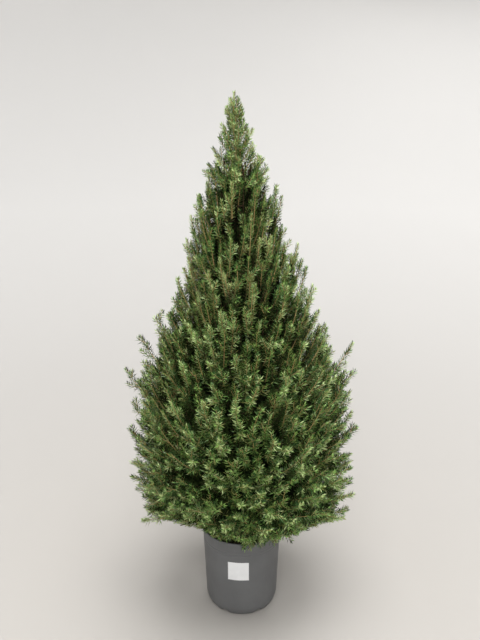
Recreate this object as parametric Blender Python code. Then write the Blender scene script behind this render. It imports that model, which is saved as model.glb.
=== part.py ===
"""Potted dwarf Alberta spruce: a dense cone of foliage on one trunk, in a round plastic nursery pot.

Metres, +Z up. The origin is the centre of the pot's flat underside, and -Y is the plant's front.
A point of the crown is told by its distance from the trunk, its azimuth round the trunk, and its
launch height: the height at which the rising path through that point leaves the trunk.
"""
import math
import random

import bmesh
import bpy
from mathutils import Vector

# Clearance between two pieces that touch
GAP = 0.0003

# Pot: a thin tapered cup with a rounded foot and a lip turned out at the rim
POT_HEIGHT = 0.2157
POT_RIM_RADIUS = 0.0975
POT_BASE_RADIUS = 0.0861
POT_WALL = 0.0022
POT_FOOT_ROUND = 0.024
POT_FOOT_HEIGHT = 0.034
POT_LIP_HEIGHT = 0.0080
POT_LIP_WIDTH = 0.0022
POT_SEGMENTS = 24
FOOT_STEPS = 4
POT_SHARP_ANGLE = 35.0

# Substrate that fills the pot, a little below the rim
SOIL_TOP = 0.1990
SOIL_MOUND = 0.0040
SOIL_FLAT_RADIUS = 0.030
SOIL_EDGE_GAP = 1.5 * GAP

# Trunk: it bows to +X on its way up and leans back to -X at its top
TRUNK_BASE_RADIUS = 0.0125
TRUNK_TOP_RADIUS = 0.0022
TRUNK_TOP = 1.0650
TRUNK_FLARE = 0.0065
TRUNK_FLARE_HEIGHT = 0.020
TRUNK_BOW = 0.0060
TRUNK_LEAN = -0.0165
TRUNK_SIDES = 8
TRUNK_RINGS = 9

# Crown outline: height and distance from the trunk of the usual shoot tips
CROWN_TOP = 1.2300
CROWN_OUTLINE = (
    (0.180, 0.130), (0.205, 0.190), (0.230, 0.236), (0.270, 0.256), (0.430, 0.264),
    (0.560, 0.256), (0.630, 0.244), (0.680, 0.220), (0.770, 0.177), (0.860, 0.146),
    (0.965, 0.109), (1.020, 0.092), (1.050, 0.080), (1.080, 0.062), (1.110, 0.048),
    (1.150, 0.032), (1.190, 0.021), (1.230, 0.005))
# The skirt's underside clears the pot's rim, then droops outwards, but rises at the front
SKIRT_HEIGHT = 0.2185
SKIRT_START = 0.105
SKIRT_DROOP = -0.32
SKIRT_FRONT_RISE = 0.69
SKIRT_FRONT_WIDTH = 1.3

# Paths of the boughs: about level at the crown's foot, steeper with each step up the trunk
PATH_FOOT = 0.2320
PATH_FOOT_SLOPE = -0.07
PATH_STEEPENING = 3.2
WIDEST_REACH = 0.3
HALVINGS = 24

# Tiers: name, launch heights, number of masses, azimuth of the first, twist over the tier, sprays
TIERS = (
    ("skirt", 0.2150, 0.3400, 6, 30.0, 8.0, 14),
    ("low", 0.3400, 0.4350, 6, 0.0, -8.0, 14),
    ("middle", 0.4350, 0.5350, 5, 54.0, 8.0, 14),
    ("upper", 0.5350, 0.6650, 4, 45.0, -10.0, 14),
    ("high", 0.6650, 0.8300, 3, 30.0, 12.0, 13),
    ("top", 0.8300, 1.0300, 2, 20.0, 0.0, 10))
LEADER_FOOT = 1.0300
BOUGH_TIERS = 5

# Leader: plumes up the stem that carries on from the trunk, each a turn on from the last
LEADER_SPRAYS = 9
LEADER_SPRAY_LENGTH = 0.062
LEADER_FOOT_RADIUS = 0.0140
LEADER_TIP_RADIUS = 0.0085
LEADER_CLEARANCE = 0.012
LEADER_TURN = 137.5
LEADER_ALLOWANCE = 2.5
LEADER_LOWEST_SHARE = 0.7
LEADER_HIGHEST_SHARE = 0.2
LEADER_STEM_SHARE = 0.5
LEADER_LONG_SHOOTS = ((0.0, 1.151, 0.037),)

# Boughs: from the trunk to the mass that hides their tips
BOUGH_END_SHARE = 0.33
BOUGH_LOW_SHARE = 0.26
BOUGH_HIGH_SHARE = 0.66
BOUGH_LIFT_STEP = 0.382
BOUGH_ROOT_RADIUS = 0.0060
BOUGH_TIP_RADIUS = 0.0036
BOUGH_THINNING = 0.65
BOUGH_SIDES = 5
BOUGH_RINGS = 3
BOUGH_SWAY = 0.010
BOUGH_SWAY_TURNS = 5.0

# Masses: each keeps to its own cell, and its core to the middle of that
CELL_MARGIN = 0.0022
CORE_MARGIN = 0.0050
CORE_INNER_SHARE = 0.37
CORE_OUTER_SHARE = 0.74
CORE_EDGE_SHARE = 0.86
CORE_UNEVENNESS = 0.06
CORE_COLUMNS = 4
STEM_END_SHARE = 0.66
STEM_STRAIGHT = 0.020
STEM_TAPER = (1.0, 0.95, 0.4)
REACH_ALLOWANCE = 1.03
LONG_ALLOWANCE = 1.5
LAUNCH_STEPS = 20

# Sprays: a slim plume of needles in two whorls that point forward
SPRAY_SIDES = 3
SPRAY_LENGTH = 0.100
SPRAY_RADIUS = 0.0205
SPRAY_TOP_LENGTH = 0.070
SPRAY_TOP_RADIUS = 0.0125
SPRAY_FULL_HEIGHT = 0.75
# Rings of a plume: share of its length, share of its radius, and turn as a share of one side
SPRAY_WHORLS = ((0.00, 0.45, 0.0), (0.55, 1.00, 0.0), (0.58, 0.55, 0.5), (0.80, 0.80, 0.0))
# Directions to try, in degrees above the path and to its side, then longer and thinner plumes
SPRAY_UPTURNS = (13.0, 6.5, 0.0, -6.5, -13.0)
SPRAY_SWING = 14.0
SPRAY_STEEPEST = 82.0
SPRAY_FITS = ((1.0, 1.0), (1.2, 1.0), (1.0, 0.75), (1.3, 0.75))
# Where the tips lie: share of the cell's width and height, and depth for the outer and deep ones
TIP_SPREAD = 0.88
TIP_LOW = 0.05
TIP_HIGH = 0.95
TIP_DEPTHS = ((0.87, 0.94), (0.96, 1.02), (0.96, 1.02))

# Shoots that stand out of the outline: azimuth, height and distance from the trunk of the tip
LONG_SHOOTS = (
    (196.0, 0.220, 0.248), (166.0, 0.250, 0.262), (190.0, 0.344, 0.272), (174.0, 0.463, 0.274),
    (188.0, 0.612, 0.272), (180.0, 0.693, 0.228), (14.0, 0.276, 0.266), (-13.0, 0.317, 0.280),
    (11.0, 0.345, 0.268), (-10.0, 0.395, 0.266), (6.0, 0.471, 0.274), (-6.0, 0.607, 0.258),
    (6.0, 0.676, 0.254), (0.0, 0.908, 0.132), (4.0, 1.030, 0.088), (-4.0, 1.076, 0.050))

# Materials: name, colour and roughness
LOOKS = (
    ("pot_plastic", (0.120, 0.120, 0.120), 0.55),
    ("substrate", (0.045, 0.030, 0.020), 0.95),
    ("bark", (0.120, 0.075, 0.045), 0.90),
    ("needles", (0.060, 0.090, 0.022), 0.60))

# Corners closer than this are welded
WELD = 1e-5
GOLDEN = (math.sqrt(5.0) - 1.0) / 2.0
SEED = 24


def material(name, colour, roughness):
    """A plain Principled material."""
    made = bpy.data.materials.new(name)
    made.use_nodes = True
    shader = made.node_tree.nodes["Principled BSDF"]
    shader.inputs["Base Color"].default_value = (*colour, 1.0)
    shader.inputs["Roughness"].default_value = roughness
    return made


def new_object(name, vertices, faces, look=None):
    """An object with a mesh of the given corners and faces."""
    mesh = bpy.data.meshes.new(name)
    mesh.from_pydata([tuple(corner) for corner in vertices], [], faces)
    mesh.update()
    made = bpy.data.objects.new(name, mesh)
    bpy.context.scene.collection.objects.link(made)
    if look:
        mesh.materials.append(look)
    return made


def mix(low, high, share):
    """The value at a share of the way from low to high."""
    return low + (high - low) * share


def trunk_centre(height):
    """The trunk's centre line at a height."""
    share = (height - SOIL_TOP) / (CROWN_TOP - SOIL_TOP)
    sideways = TRUNK_BOW * 4.0 * share * (1.0 - share) + TRUNK_LEAN * share
    return Vector((sideways, 0.0, height))


def trunk_radius(height):
    """The trunk's radius at a height: an even taper, with a flare at the root."""
    share = (height - SOIL_TOP) / (TRUNK_TOP - SOIL_TOP)
    flare = TRUNK_FLARE * math.exp(-(height - SOIL_TOP) / TRUNK_FLARE_HEIGHT)
    return mix(TRUNK_BASE_RADIUS, TRUNK_TOP_RADIUS, share) + flare


def crown_radius(height):
    """How far from the trunk the usual shoot tips reach at a height."""
    if height <= CROWN_OUTLINE[0][0]:
        return CROWN_OUTLINE[0][1]
    for (low, near), (high, far) in zip(CROWN_OUTLINE, CROWN_OUTLINE[1:]):
        if height <= high:
            return mix(near, far, (height - low) / (high - low))
    return 0.0


def path_slope(launch):
    """How steeply the path from a launch height rises."""
    return PATH_FOOT_SLOPE + PATH_STEEPENING * (launch - PATH_FOOT)


def path_reach(launch):
    """Distance from the trunk at which the path from a launch height leaves the crown."""
    near, far = 0.0, WIDEST_REACH
    for _ in range(HALVINGS):
        middle = (near + far) / 2.0
        if middle < crown_radius(launch + middle * path_slope(launch)):
            near = middle
        else:
            far = middle
    return near


def place(launch, azimuth, distance):
    """The point of the path with this launch height and azimuth at a distance from the trunk."""
    height = launch + distance * path_slope(launch)
    return trunk_centre(height) + outward(azimuth) * distance


def measure(point):
    """Launch height, azimuth and distance from the trunk of a point."""
    offset = point - trunk_centre(point.z)
    distance = math.hypot(offset.x, offset.y)
    rise = point.z - distance * (PATH_FOOT_SLOPE - PATH_STEEPENING * PATH_FOOT)
    return rise / (1.0 + PATH_STEEPENING * distance), math.atan2(offset.y, offset.x), distance


def skirt_bottom(azimuth, distance):
    """Height of the crown's underside."""
    frontness = min(1.0, SKIRT_FRONT_WIDTH * max(0.0, -math.sin(azimuth)))
    slope = mix(SKIRT_DROOP, SKIRT_FRONT_RISE, frontness)
    return SKIRT_HEIGHT + slope * max(0.0, distance - SKIRT_START)


class Cell:
    """The space that one mass of foliage keeps to."""

    def __init__(self, name, low, high, azimuth, half_width, twist, lift):
        self.name = name
        self.lift = lift
        self.low = low
        self.high = high
        self.azimuth = azimuth
        self.half_width = half_width
        self.twist = twist

    def middle(self, launch):
        """Azimuth of the cell's middle at a launch height."""
        share = (launch - self.low) / (self.high - self.low) - 0.5
        return self.azimuth + self.twist * share

    def holds(self, point, margin, reach_share, inner=0.0):
        """Whether a point lies in the cell, clear of its sides by the margin."""
        launch, azimuth, distance = measure(point)
        rise = 1.0 + PATH_STEEPENING * distance
        slack = margin * math.hypot(1.0, path_slope(launch)) / rise
        if not self.low + slack <= launch <= self.high - slack:
            return False
        if distance < inner or distance > crown_radius(point.z) * reach_share:
            return False
        if point.z < skirt_bottom(azimuth, distance) + margin:
            return False
        if self.half_width >= math.pi:
            return True
        aside = (azimuth - self.middle(launch) + math.pi) % math.tau - math.pi
        spare = self.half_width - abs(aside)
        return spare > 0.0 and distance * math.sin(min(spare, math.pi / 2.0)) >= margin


def outward(azimuth):
    """The level direction away from the trunk at an azimuth."""
    return Vector((math.cos(azimuth), math.sin(azimuth), 0.0))


def ring_offsets(heading, radius, sides, turned=0.0):
    """Corners of a ring square to a heading, from its centre; turned is a share of one side."""
    turn = heading.to_track_quat("Z", "Y")
    return [turn @ (outward(math.tau * (side + turned) / sides) * radius) for side in range(sides)]


def tube(name, centres, radii, sides, look=None):
    """A closed tapering limb through the given centres, with a flat end across each tip."""
    corners = []
    for index, centre in enumerate(centres):
        before = centres[max(index - 1, 0)]
        after = centres[min(index + 1, len(centres) - 1)]
        corners.extend(centre + offset for offset in ring_offsets(after - before, radii[index], sides))
    faces = []
    for ring in range(len(centres) - 1):
        for side in range(sides):
            here = ring * sides + side
            beside = ring * sides + (side + 1) % sides
            faces.append((here, beside, beside + sides, here + sides))
    faces.append(tuple(reversed(range(sides))))
    faces.append(tuple(range(len(corners) - sides, len(corners))))
    limb = new_object(name, corners, faces, look)
    tidy(limb.data)
    return limb


def lathe(name, profile, segments, look):
    """A closed body turned round Z from a profile whose first and last points lie on the axis."""
    rim = profile[1:-1]
    corners = [(0.0, 0.0, profile[0][1])]
    for radius, height in rim:
        for segment in range(segments):
            across = outward(math.tau * segment / segments) * radius
            corners.append((across.x, across.y, height))
    corners.append((0.0, 0.0, profile[-1][1]))
    last = len(corners) - 1
    faces = []
    for segment in range(segments):
        beside = (segment + 1) % segments
        faces.append((0, 1 + beside, 1 + segment))
        for ring in range(len(rim) - 1):
            low = 1 + ring * segments
            high = low + segments
            faces.append((low + segment, low + beside, high + beside, high + segment))
        top = 1 + (len(rim) - 1) * segments
        faces.append((top + segment, top + beside, last))
    return new_object(name, corners, faces, look)


def pieces_of(bm):
    """The connected pieces of a mesh, as lists of faces."""
    left = set(bm.faces)
    pieces = []
    while left:
        queue = [left.pop()]
        piece = []
        while queue:
            face = queue.pop()
            piece.append(face)
            for edge in face.edges:
                for other in edge.link_faces:
                    if other in left:
                        left.remove(other)
                        queue.append(other)
        pieces.append(piece)
    return pieces


def signed_volume(faces):
    """Volume inside some triangles: negative where they enclose a hollow."""
    total = 0.0
    for face in faces:
        one, two, three = (corner.co for corner in face.verts)
        total += one.dot(two.cross(three)) / 6.0
    return total


def tidy(mesh):
    """Leave one closed body of triangles, with no loose scraps and no sealed hollows."""
    for quads, ngons in (("BEAUTY", "BEAUTY"), ("FIXED", "EAR_CLIP")):
        bm = bmesh.new()
        bm.from_mesh(mesh)
        bmesh.ops.remove_doubles(bm, verts=bm.verts, dist=WELD)
        bmesh.ops.triangulate(bm, faces=bm.faces, quad_method=quads, ngon_method=ngons)
        pieces = sorted(pieces_of(bm), key=signed_volume)
        scraps = [face for piece in pieces[:-1] for face in piece]
        bmesh.ops.delete(bm, geom=scraps, context="FACES")
        closed = bool(bm.faces) and all(len(edge.link_faces) == 2 for edge in bm.edges)
        if closed:
            bm.to_mesh(mesh)
        bm.free()
        if closed:
            return True
    return False


def boolean(target, operation, solver, operand=None, group=None):
    """Apply one Boolean to an object, with an object or a collection as its operand."""
    step = target.modifiers.new("join", "BOOLEAN")
    step.operation = operation
    step.solver = solver
    if group:
        step.operand_type = "COLLECTION"
        step.collection = group
    else:
        step.object = operand
    shape = target.evaluated_get(bpy.context.evaluated_depsgraph_get())
    mesh = bpy.data.meshes.new_from_object(shape)
    target.modifiers.clear()
    return mesh


def discard(objects):
    """Remove objects that were only needed for a Boolean."""
    for made in objects:
        bpy.data.objects.remove(made)


def union(stem, parts):
    """The mesh of a stem and its parts joined in one closed body, or nothing if that fails."""
    group = bpy.data.collections.new("parts")
    for made in parts:
        group.objects.link(made)
    joined = None
    for solver in ("EXACT", "MANIFOLD"):
        mesh = boolean(stem, "UNION", solver, group=group)
        if tidy(mesh):
            joined = mesh
            break
    bpy.data.collections.remove(group)
    return joined


def fuse(name, stem, parts, look, cut=None):
    """One closed body from a stem and its parts; the last part comes off where the union fails."""
    mesh = union(stem, parts)
    while mesh is None:
        discard([parts.pop()])
        mesh = union(stem, parts)
    joined = bpy.data.objects.new(name, mesh)
    bpy.context.scene.collection.objects.link(joined)
    if cut:
        joined.data = boolean(joined, "DIFFERENCE", "EXACT", operand=cut)
        tidy(joined.data)
    joined.data.materials.clear()
    joined.data.materials.append(look)
    discard([stem] + parts)


def pot_outer(height):
    """The outer radius of the pot's tapered wall at a height."""
    return mix(POT_BASE_RADIUS, POT_RIM_RADIUS - POT_LIP_WIDTH, height / POT_HEIGHT)


def foot_curve(steps, clearance):
    """Radius and height up the rounded foot, from the flat part to the wall."""
    flat_radius = pot_outer(POT_FOOT_HEIGHT) - POT_FOOT_ROUND
    rise = POT_FOOT_HEIGHT - clearance
    for step in range(steps + 1):
        angle = math.radians(90.0) * step / steps
        radius = flat_radius + (POT_FOOT_ROUND - clearance) * math.sin(angle)
        yield radius, clearance + rise * (1.0 - math.cos(angle))


def make_pot(look):
    """The cup, with a rounded foot, a lip and an open top."""
    lip_foot = POT_HEIGHT - POT_LIP_HEIGHT
    profile = [(0.0, 0.0)]
    profile.extend(foot_curve(FOOT_STEPS, 0.0))
    profile.append((pot_outer(lip_foot), lip_foot))
    profile.append((POT_RIM_RADIUS, lip_foot + POT_LIP_WIDTH * 0.5))
    profile.append((POT_RIM_RADIUS, POT_HEIGHT))
    profile.append((pot_outer(POT_HEIGHT) - POT_WALL, POT_HEIGHT))
    profile.extend(reversed(list(foot_curve(FOOT_STEPS // 2, POT_WALL))))
    profile.append((0.0, POT_WALL))
    pot = lathe("pot", profile, POT_SEGMENTS, look)
    pot.data.shade_smooth()
    pot.data.set_sharp_from_angle(angle=math.radians(POT_SHARP_ANGLE))


def make_substrate(look):
    """The growing medium: it follows the pot's inside and mounds a little round the trunk."""
    edge_height = SOIL_TOP - SOIL_MOUND
    profile = [(0.0, POT_WALL + GAP)]
    for radius, height in foot_curve(FOOT_STEPS // 2, POT_WALL):
        profile.append((radius - GAP, height + GAP))
    profile.append((pot_outer(edge_height) - POT_WALL - SOIL_EDGE_GAP, edge_height))
    profile.append((SOIL_FLAT_RADIUS, SOIL_TOP))
    profile.append((0.0, SOIL_TOP))
    lathe("substrate", profile, POT_SEGMENTS, look)


def trunk_tube(name, extra, look=None):
    """The trunk, or a copy that is wider by a clearance all round."""
    heights = [SOIL_TOP + GAP, SOIL_TOP + TRUNK_FLARE_HEIGHT]
    for ring in range(1, TRUNK_RINGS):
        heights.append(mix(SOIL_TOP + 2.0 * TRUNK_FLARE_HEIGHT, TRUNK_TOP, ring / (TRUNK_RINGS - 1)))
    centres = [trunk_centre(height) for height in heights]
    radii = [trunk_radius(height) + extra for height in heights]
    corners = []
    for centre, radius in zip(centres, radii):
        for side in range(TRUNK_SIDES):
            corners.append(centre + outward(math.tau * side / TRUNK_SIDES) * radius)
    faces = [tuple(reversed(range(TRUNK_SIDES)))]
    for ring in range(len(centres) - 1):
        for side in range(TRUNK_SIDES):
            here = ring * TRUNK_SIDES + side
            beside = ring * TRUNK_SIDES + (side + 1) % TRUNK_SIDES
            faces.append((here, beside, beside + TRUNK_SIDES, here + TRUNK_SIDES))
    faces.append(tuple(range(len(corners) - TRUNK_SIDES, len(corners))))
    return new_object(name, corners, faces, look)


def bough_launch(cell):
    """Launch height of the bough in a cell: boughs side by side leave the trunk at other heights."""
    return mix(cell.low, cell.high, mix(BOUGH_LOW_SHARE, BOUGH_HIGH_SHARE, cell.lift))


def bough_path(cell, distance):
    """The bough's centre line at a distance from the trunk, swaying a little to one side."""
    launch = bough_launch(cell)
    end = BOUGH_END_SHARE * path_reach(launch)
    bend = math.sin(math.pi * min(distance / end, 1.0))
    sway = BOUGH_SWAY * bend * math.cos(BOUGH_SWAY_TURNS * cell.azimuth)
    point = place(launch, cell.middle(launch), distance)
    side = Vector((-math.sin(cell.azimuth), math.cos(cell.azimuth), 0.0))
    return point + side * sway


def bough_thickness(cell, share):
    """The bough's radius at a share of its length: higher boughs are thinner."""
    height_share = (bough_launch(cell) - PATH_FOOT) / (CROWN_TOP - PATH_FOOT)
    return mix(BOUGH_ROOT_RADIUS, BOUGH_TIP_RADIUS, share) * (1.0 - BOUGH_THINNING * height_share)


def make_bough(cell, trunk_cut, look):
    """A tapering limb from the trunk's side to where it enters its mass."""
    end = BOUGH_END_SHARE * path_reach(bough_launch(cell))
    shares = [ring / (BOUGH_RINGS - 1) for ring in range(BOUGH_RINGS)]
    centres = [bough_path(cell, end * share) for share in shares]
    radii = [bough_thickness(cell, share) for share in shares]
    bough = tube(cell.name + "_bough", centres, radii, BOUGH_SIDES, look)
    bough.data = boolean(bough, "DIFFERENCE", "EXACT", operand=trunk_cut)
    tidy(bough.data)


def bough_stem(cell):
    """The stem of a mass that carries on from its bough's tip, its first end square to that tip."""
    reach = path_reach(bough_launch(cell))
    end = BOUGH_END_SHARE * reach
    bough_tip = bough_path(cell, end)
    heading = (bough_tip - bough_path(cell, end * (BOUGH_RINGS - 2) / (BOUGH_RINGS - 1))).normalized()
    first = bough_tip + heading * GAP
    stem_tip = place(bough_launch(cell), cell.middle(bough_launch(cell)), STEM_END_SHARE * reach)
    centres = (first, first + heading * STEM_STRAIGHT, stem_tip)
    radii = [bough_thickness(cell, 1.0) * share for share in STEM_TAPER]
    stem = tube(cell.name + "_stem", centres, radii, BOUGH_SIDES)
    for corner, offset in zip(stem.data.vertices, ring_offsets(heading, radii[0], BOUGH_SIDES)):
        corner.co = first + offset
    return stem


def trunk_stem(cell):
    """The stem of a mass that leaves the trunk without a bough."""
    launch = bough_launch(cell)
    reach = path_reach(launch)
    centres = [place(launch, cell.middle(launch), reach * share) for share in (0.0, 0.5, STEM_END_SHARE)]
    radii = [BOUGH_TIP_RADIUS * share for share in STEM_TAPER]
    return tube(cell.name + "_stem", centres, radii, BOUGH_SIDES)


def core_inner(cell):
    """Distance from the trunk of the core's inner side, just past the bough's tip."""
    return CORE_INNER_SHARE * path_reach(bough_launch(cell))


def core_corner(cell, aside, level, outer):
    """A corner of the core: aside and level run from -1 to 1 over the cell."""
    launch = mix(cell.low, cell.high, 0.5 + 0.5 * level)
    distance = outer * path_reach(launch) if outer else core_inner(cell)
    slant = math.hypot(1.0, path_slope(launch))
    launch -= level * CORE_MARGIN * slant / (1.0 + PATH_STEEPENING * distance)
    azimuth = cell.middle(launch) + aside * (cell.half_width - CORE_MARGIN / distance)
    corner = place(launch, azimuth, distance)
    corner.z = max(corner.z, skirt_bottom(azimuth, distance) + CORE_MARGIN)
    return corner


def make_core(cell, chance):
    """The dense middle of a mass: a block that follows the cell's sides inside a margin."""
    corners = []
    for column in range(CORE_COLUMNS):
        aside = 2.0 * column / (CORE_COLUMNS - 1) - 1.0
        edge = CORE_EDGE_SHARE if column in (0, CORE_COLUMNS - 1) else 1.0
        outer = CORE_OUTER_SHARE * edge * chance.uniform(1.0 - CORE_UNEVENNESS, 1.0)
        for level, share in ((-1.0, 0.0), (-1.0, outer), (1.0, outer), (1.0, 0.0)):
            corners.append(core_corner(cell, aside, level, share))
    faces = [(0, 1, 2, 3), tuple(reversed(range(len(corners) - 4, len(corners))))]
    for column in range(CORE_COLUMNS - 1):
        for side in range(4):
            here = 4 * column + side
            beside = 4 * column + (side + 1) % 4
            faces.append((here, here + 4, beside + 4, beside))
    core = new_object(cell.name + "_core", corners, faces)
    tidy(core.data)
    return core


def inside_core(core, point):
    """Whether a point lies inside a core."""
    hit, nearest, normal, _ = core.closest_point_on_mesh(point)
    return hit and (point - nearest).dot(normal) < 0.0


def spray_corners(root, tip, radius, spin):
    """Corners of one plume: rings, wide and narrow in turn, and a pointed tip."""
    corners = []
    for share, width, turned in SPRAY_WHORLS:
        centre = root.lerp(tip, share)
        ring = ring_offsets(tip - root, radius * width, SPRAY_SIDES, turned + spin)
        corners.extend(centre + offset for offset in ring)
    corners.append(tip)
    return corners


def spray_object(corners):
    """The plume as a closed body."""
    sides = SPRAY_SIDES
    faces = [tuple(reversed(range(sides)))]
    for ring, (below, above) in enumerate(zip(SPRAY_WHORLS, SPRAY_WHORLS[1:])):
        for side in range(sides):
            here = sides * ring + side
            beside = sides * ring + (side + 1) % sides
            if below[2] == above[2]:
                faces.append((here, beside, beside + sides, here + sides))
            elif below[2] < above[2]:
                faces.extend(((here, beside, here + sides), (beside, beside + sides, here + sides)))
            else:
                faces.extend(((here, beside + sides, here + sides), (here, beside, beside + sides)))
    last = len(corners) - 1
    for side in range(sides):
        faces.append((last - sides + side, last - sides + (side + 1) % sides, last))
    return new_object("spray", corners, faces)


def spray_size(height):
    """Length and radius of the plumes at a height: they are shorter near the crown's top."""
    share = min(1.0, max(0.0, (height - SPRAY_FULL_HEIGHT) / (CROWN_TOP - SPRAY_FULL_HEIGHT)))
    return mix(SPRAY_LENGTH, SPRAY_TOP_LENGTH, share), mix(SPRAY_RADIUS, SPRAY_TOP_RADIUS, share)


def spray_headings(tip, swing):
    """Directions to try for a plume, from the steepest to the flattest."""
    launch, azimuth, _ = measure(tip)
    along = math.degrees(math.atan(path_slope(launch)))
    for upturn in SPRAY_UPTURNS:
        rise = math.radians(min(along + upturn, SPRAY_STEEPEST))
        for aside in (swing, 0.0, -swing):
            level = outward(azimuth + math.radians(aside))
            yield level * math.cos(rise) + Vector((0.0, 0.0, math.sin(rise)))


def make_spray(cell, core, tip, chance, allowance):
    """A plume that ends at a tip and is rooted in the core, or nothing if none fits the cell."""
    length, radius = spray_size(tip.z)
    spin = chance.random()
    for heading in spray_headings(tip, chance.uniform(-SPRAY_SWING, SPRAY_SWING)):
        for stretch, girth in SPRAY_FITS:
            root = tip - heading * length * stretch
            corners = spray_corners(root, tip, radius * girth, spin)
            fits = all(cell.holds(corner, CELL_MARGIN, allowance, core_inner(cell)) for corner in corners)
            if fits and inside_core(core, root):
                return spray_object(corners)
    return None


def lowest_launch(cell, azimuth):
    """The lowest launch height in a cell whose path stays above the crown's underside."""
    for step in range(LAUNCH_STEPS):
        launch = mix(cell.low, cell.high, step / LAUNCH_STEPS)
        reach = path_reach(launch)
        if launch + reach * path_slope(launch) > skirt_bottom(azimuth, reach):
            return launch
    return cell.high


def spray_tips(cell, count, chance):
    """Tips spread evenly over the cell's outer side, deeper ones between the outermost."""
    for index in range(count):
        aside = cell.half_width * mix(-TIP_SPREAD, TIP_SPREAD, (index * GOLDEN + 0.5) % 1.0)
        lowest = lowest_launch(cell, cell.azimuth + aside)
        launch = mix(lowest, cell.high, mix(TIP_LOW, TIP_HIGH, (index + 0.5) / count))
        depth = chance.uniform(*TIP_DEPTHS[index % len(TIP_DEPTHS)])
        yield place(launch, cell.middle(launch) + aside, path_reach(launch) * depth)


def long_tips(cell):
    """Tips of the shoots that stand out of the outline inside this cell."""
    for azimuth, height, distance in LONG_SHOOTS:
        tip = trunk_centre(height) + outward(math.radians(azimuth)) * distance
        if cell.holds(tip, CELL_MARGIN, LONG_ALLOWANCE):
            yield tip


def make_mass(cell, count, stem, look, cut=None):
    """A mass of foliage: stem, core and plumes in one closed body."""
    chance = random.Random(SEED + round(1000.0 * (cell.low + cell.azimuth)))
    core = make_core(cell, chance)
    sprays = [make_spray(cell, core, tip, chance, LONG_ALLOWANCE) for tip in long_tips(cell)]
    for tip in spray_tips(cell, count, chance):
        sprays.append(make_spray(cell, core, tip, chance, REACH_ALLOWANCE))
    fuse(cell.name + "_foliage", stem, [core] + [spray for spray in sprays if spray], look, cut)


def leader_tips(chance):
    """Azimuth, height and distance of the tips round the crown's top."""
    yield 0.0, CROWN_TOP, 0.0
    yield from LEADER_LONG_SHOOTS
    lowest = TRUNK_TOP + LEADER_SPRAY_LENGTH * LEADER_LOWEST_SHARE
    highest = CROWN_TOP - LEADER_SPRAY_LENGTH * LEADER_HIGHEST_SHARE
    for index in range(LEADER_SPRAYS):
        azimuth = LEADER_TURN * index + chance.uniform(-SPRAY_SWING, SPRAY_SWING)
        height = mix(lowest, highest, (index + 0.5) / LEADER_SPRAYS)
        yield azimuth, height, crown_radius(height)


def make_leader(look):
    """The mass round the crown's tip: plumes up a stem that carries on from the trunk."""
    chance = random.Random(SEED)
    cell = Cell("leader", LEADER_FOOT, 2.0 * CROWN_TOP, 0.0, math.pi, 0.0, 0.0)
    stem_tip = CROWN_TOP - LEADER_SPRAY_LENGTH * LEADER_STEM_SHARE
    heights = (TRUNK_TOP + GAP, mix(TRUNK_TOP, stem_tip, 0.5), stem_tip)
    radii = [TRUNK_TOP_RADIUS * share for share in STEM_TAPER]
    stem = tube("leader_stem", [trunk_centre(height) for height in heights], radii, BOUGH_SIDES)
    parts = []
    for azimuth, height, distance in leader_tips(chance):
        tip = trunk_centre(height) + outward(math.radians(azimuth)) * distance
        root_height = max(height - LEADER_SPRAY_LENGTH, TRUNK_TOP + LEADER_CLEARANCE)
        radius = mix(LEADER_FOOT_RADIUS, LEADER_TIP_RADIUS, (height - TRUNK_TOP) / (CROWN_TOP - TRUNK_TOP))
        corners = spray_corners(trunk_centre(root_height), tip, radius, chance.random())
        if all(cell.holds(corner, CELL_MARGIN, LEADER_ALLOWANCE) for corner in corners):
            parts.append(spray_object(corners))
    fuse("leader_foliage", stem, parts, look)


def cells():
    """Every cell below the leader, with its number of plumes and whether it has a bough."""
    for tier, (name, low, high, count, first, twist, sprays) in enumerate(TIERS):
        for index in range(count):
            azimuth = math.radians(first + 360.0 * index / count)
            label = "{}_{}".format(name, index + 1)
            lift = (index * BOUGH_LIFT_STEP) % 1.0
            cell = Cell(label, low, high, azimuth, math.pi / count, math.radians(twist), lift)
            yield cell, sprays, tier < BOUGH_TIERS


def main():
    """Build the plant and its pot."""
    discard(list(bpy.data.objects))
    pot_look, soil_look, bark_look, needle_look = (material(*look) for look in LOOKS)
    make_pot(pot_look)
    make_substrate(soil_look)
    trunk_tube("trunk", 0.0, bark_look)
    trunk_cut = trunk_tube("trunk_clearance", GAP)
    for cell, sprays, has_bough in cells():
        if has_bough:
            make_bough(cell, trunk_cut, bark_look)
            make_mass(cell, sprays, bough_stem(cell), needle_look)
        else:
            make_mass(cell, sprays, trunk_stem(cell), needle_look, trunk_cut)
    make_leader(needle_look)
    discard([trunk_cut])


if __name__ == "__main__":
    main()
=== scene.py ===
"""Potted dwarf Alberta spruce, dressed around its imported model: bark, shoots, needles, pot and studio.

Metres, +Z up, in the model's own frame: the origin is the centre of the pot's flat underside, and -Y is
the plant's front. A point of the crown is told by its distance from the trunk, its azimuth round the
trunk, and its launch height: the height at which the rising path through that point leaves the trunk.
A table has rows of a height and what holds there, unless its comment says otherwise.
"""
import math

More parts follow.
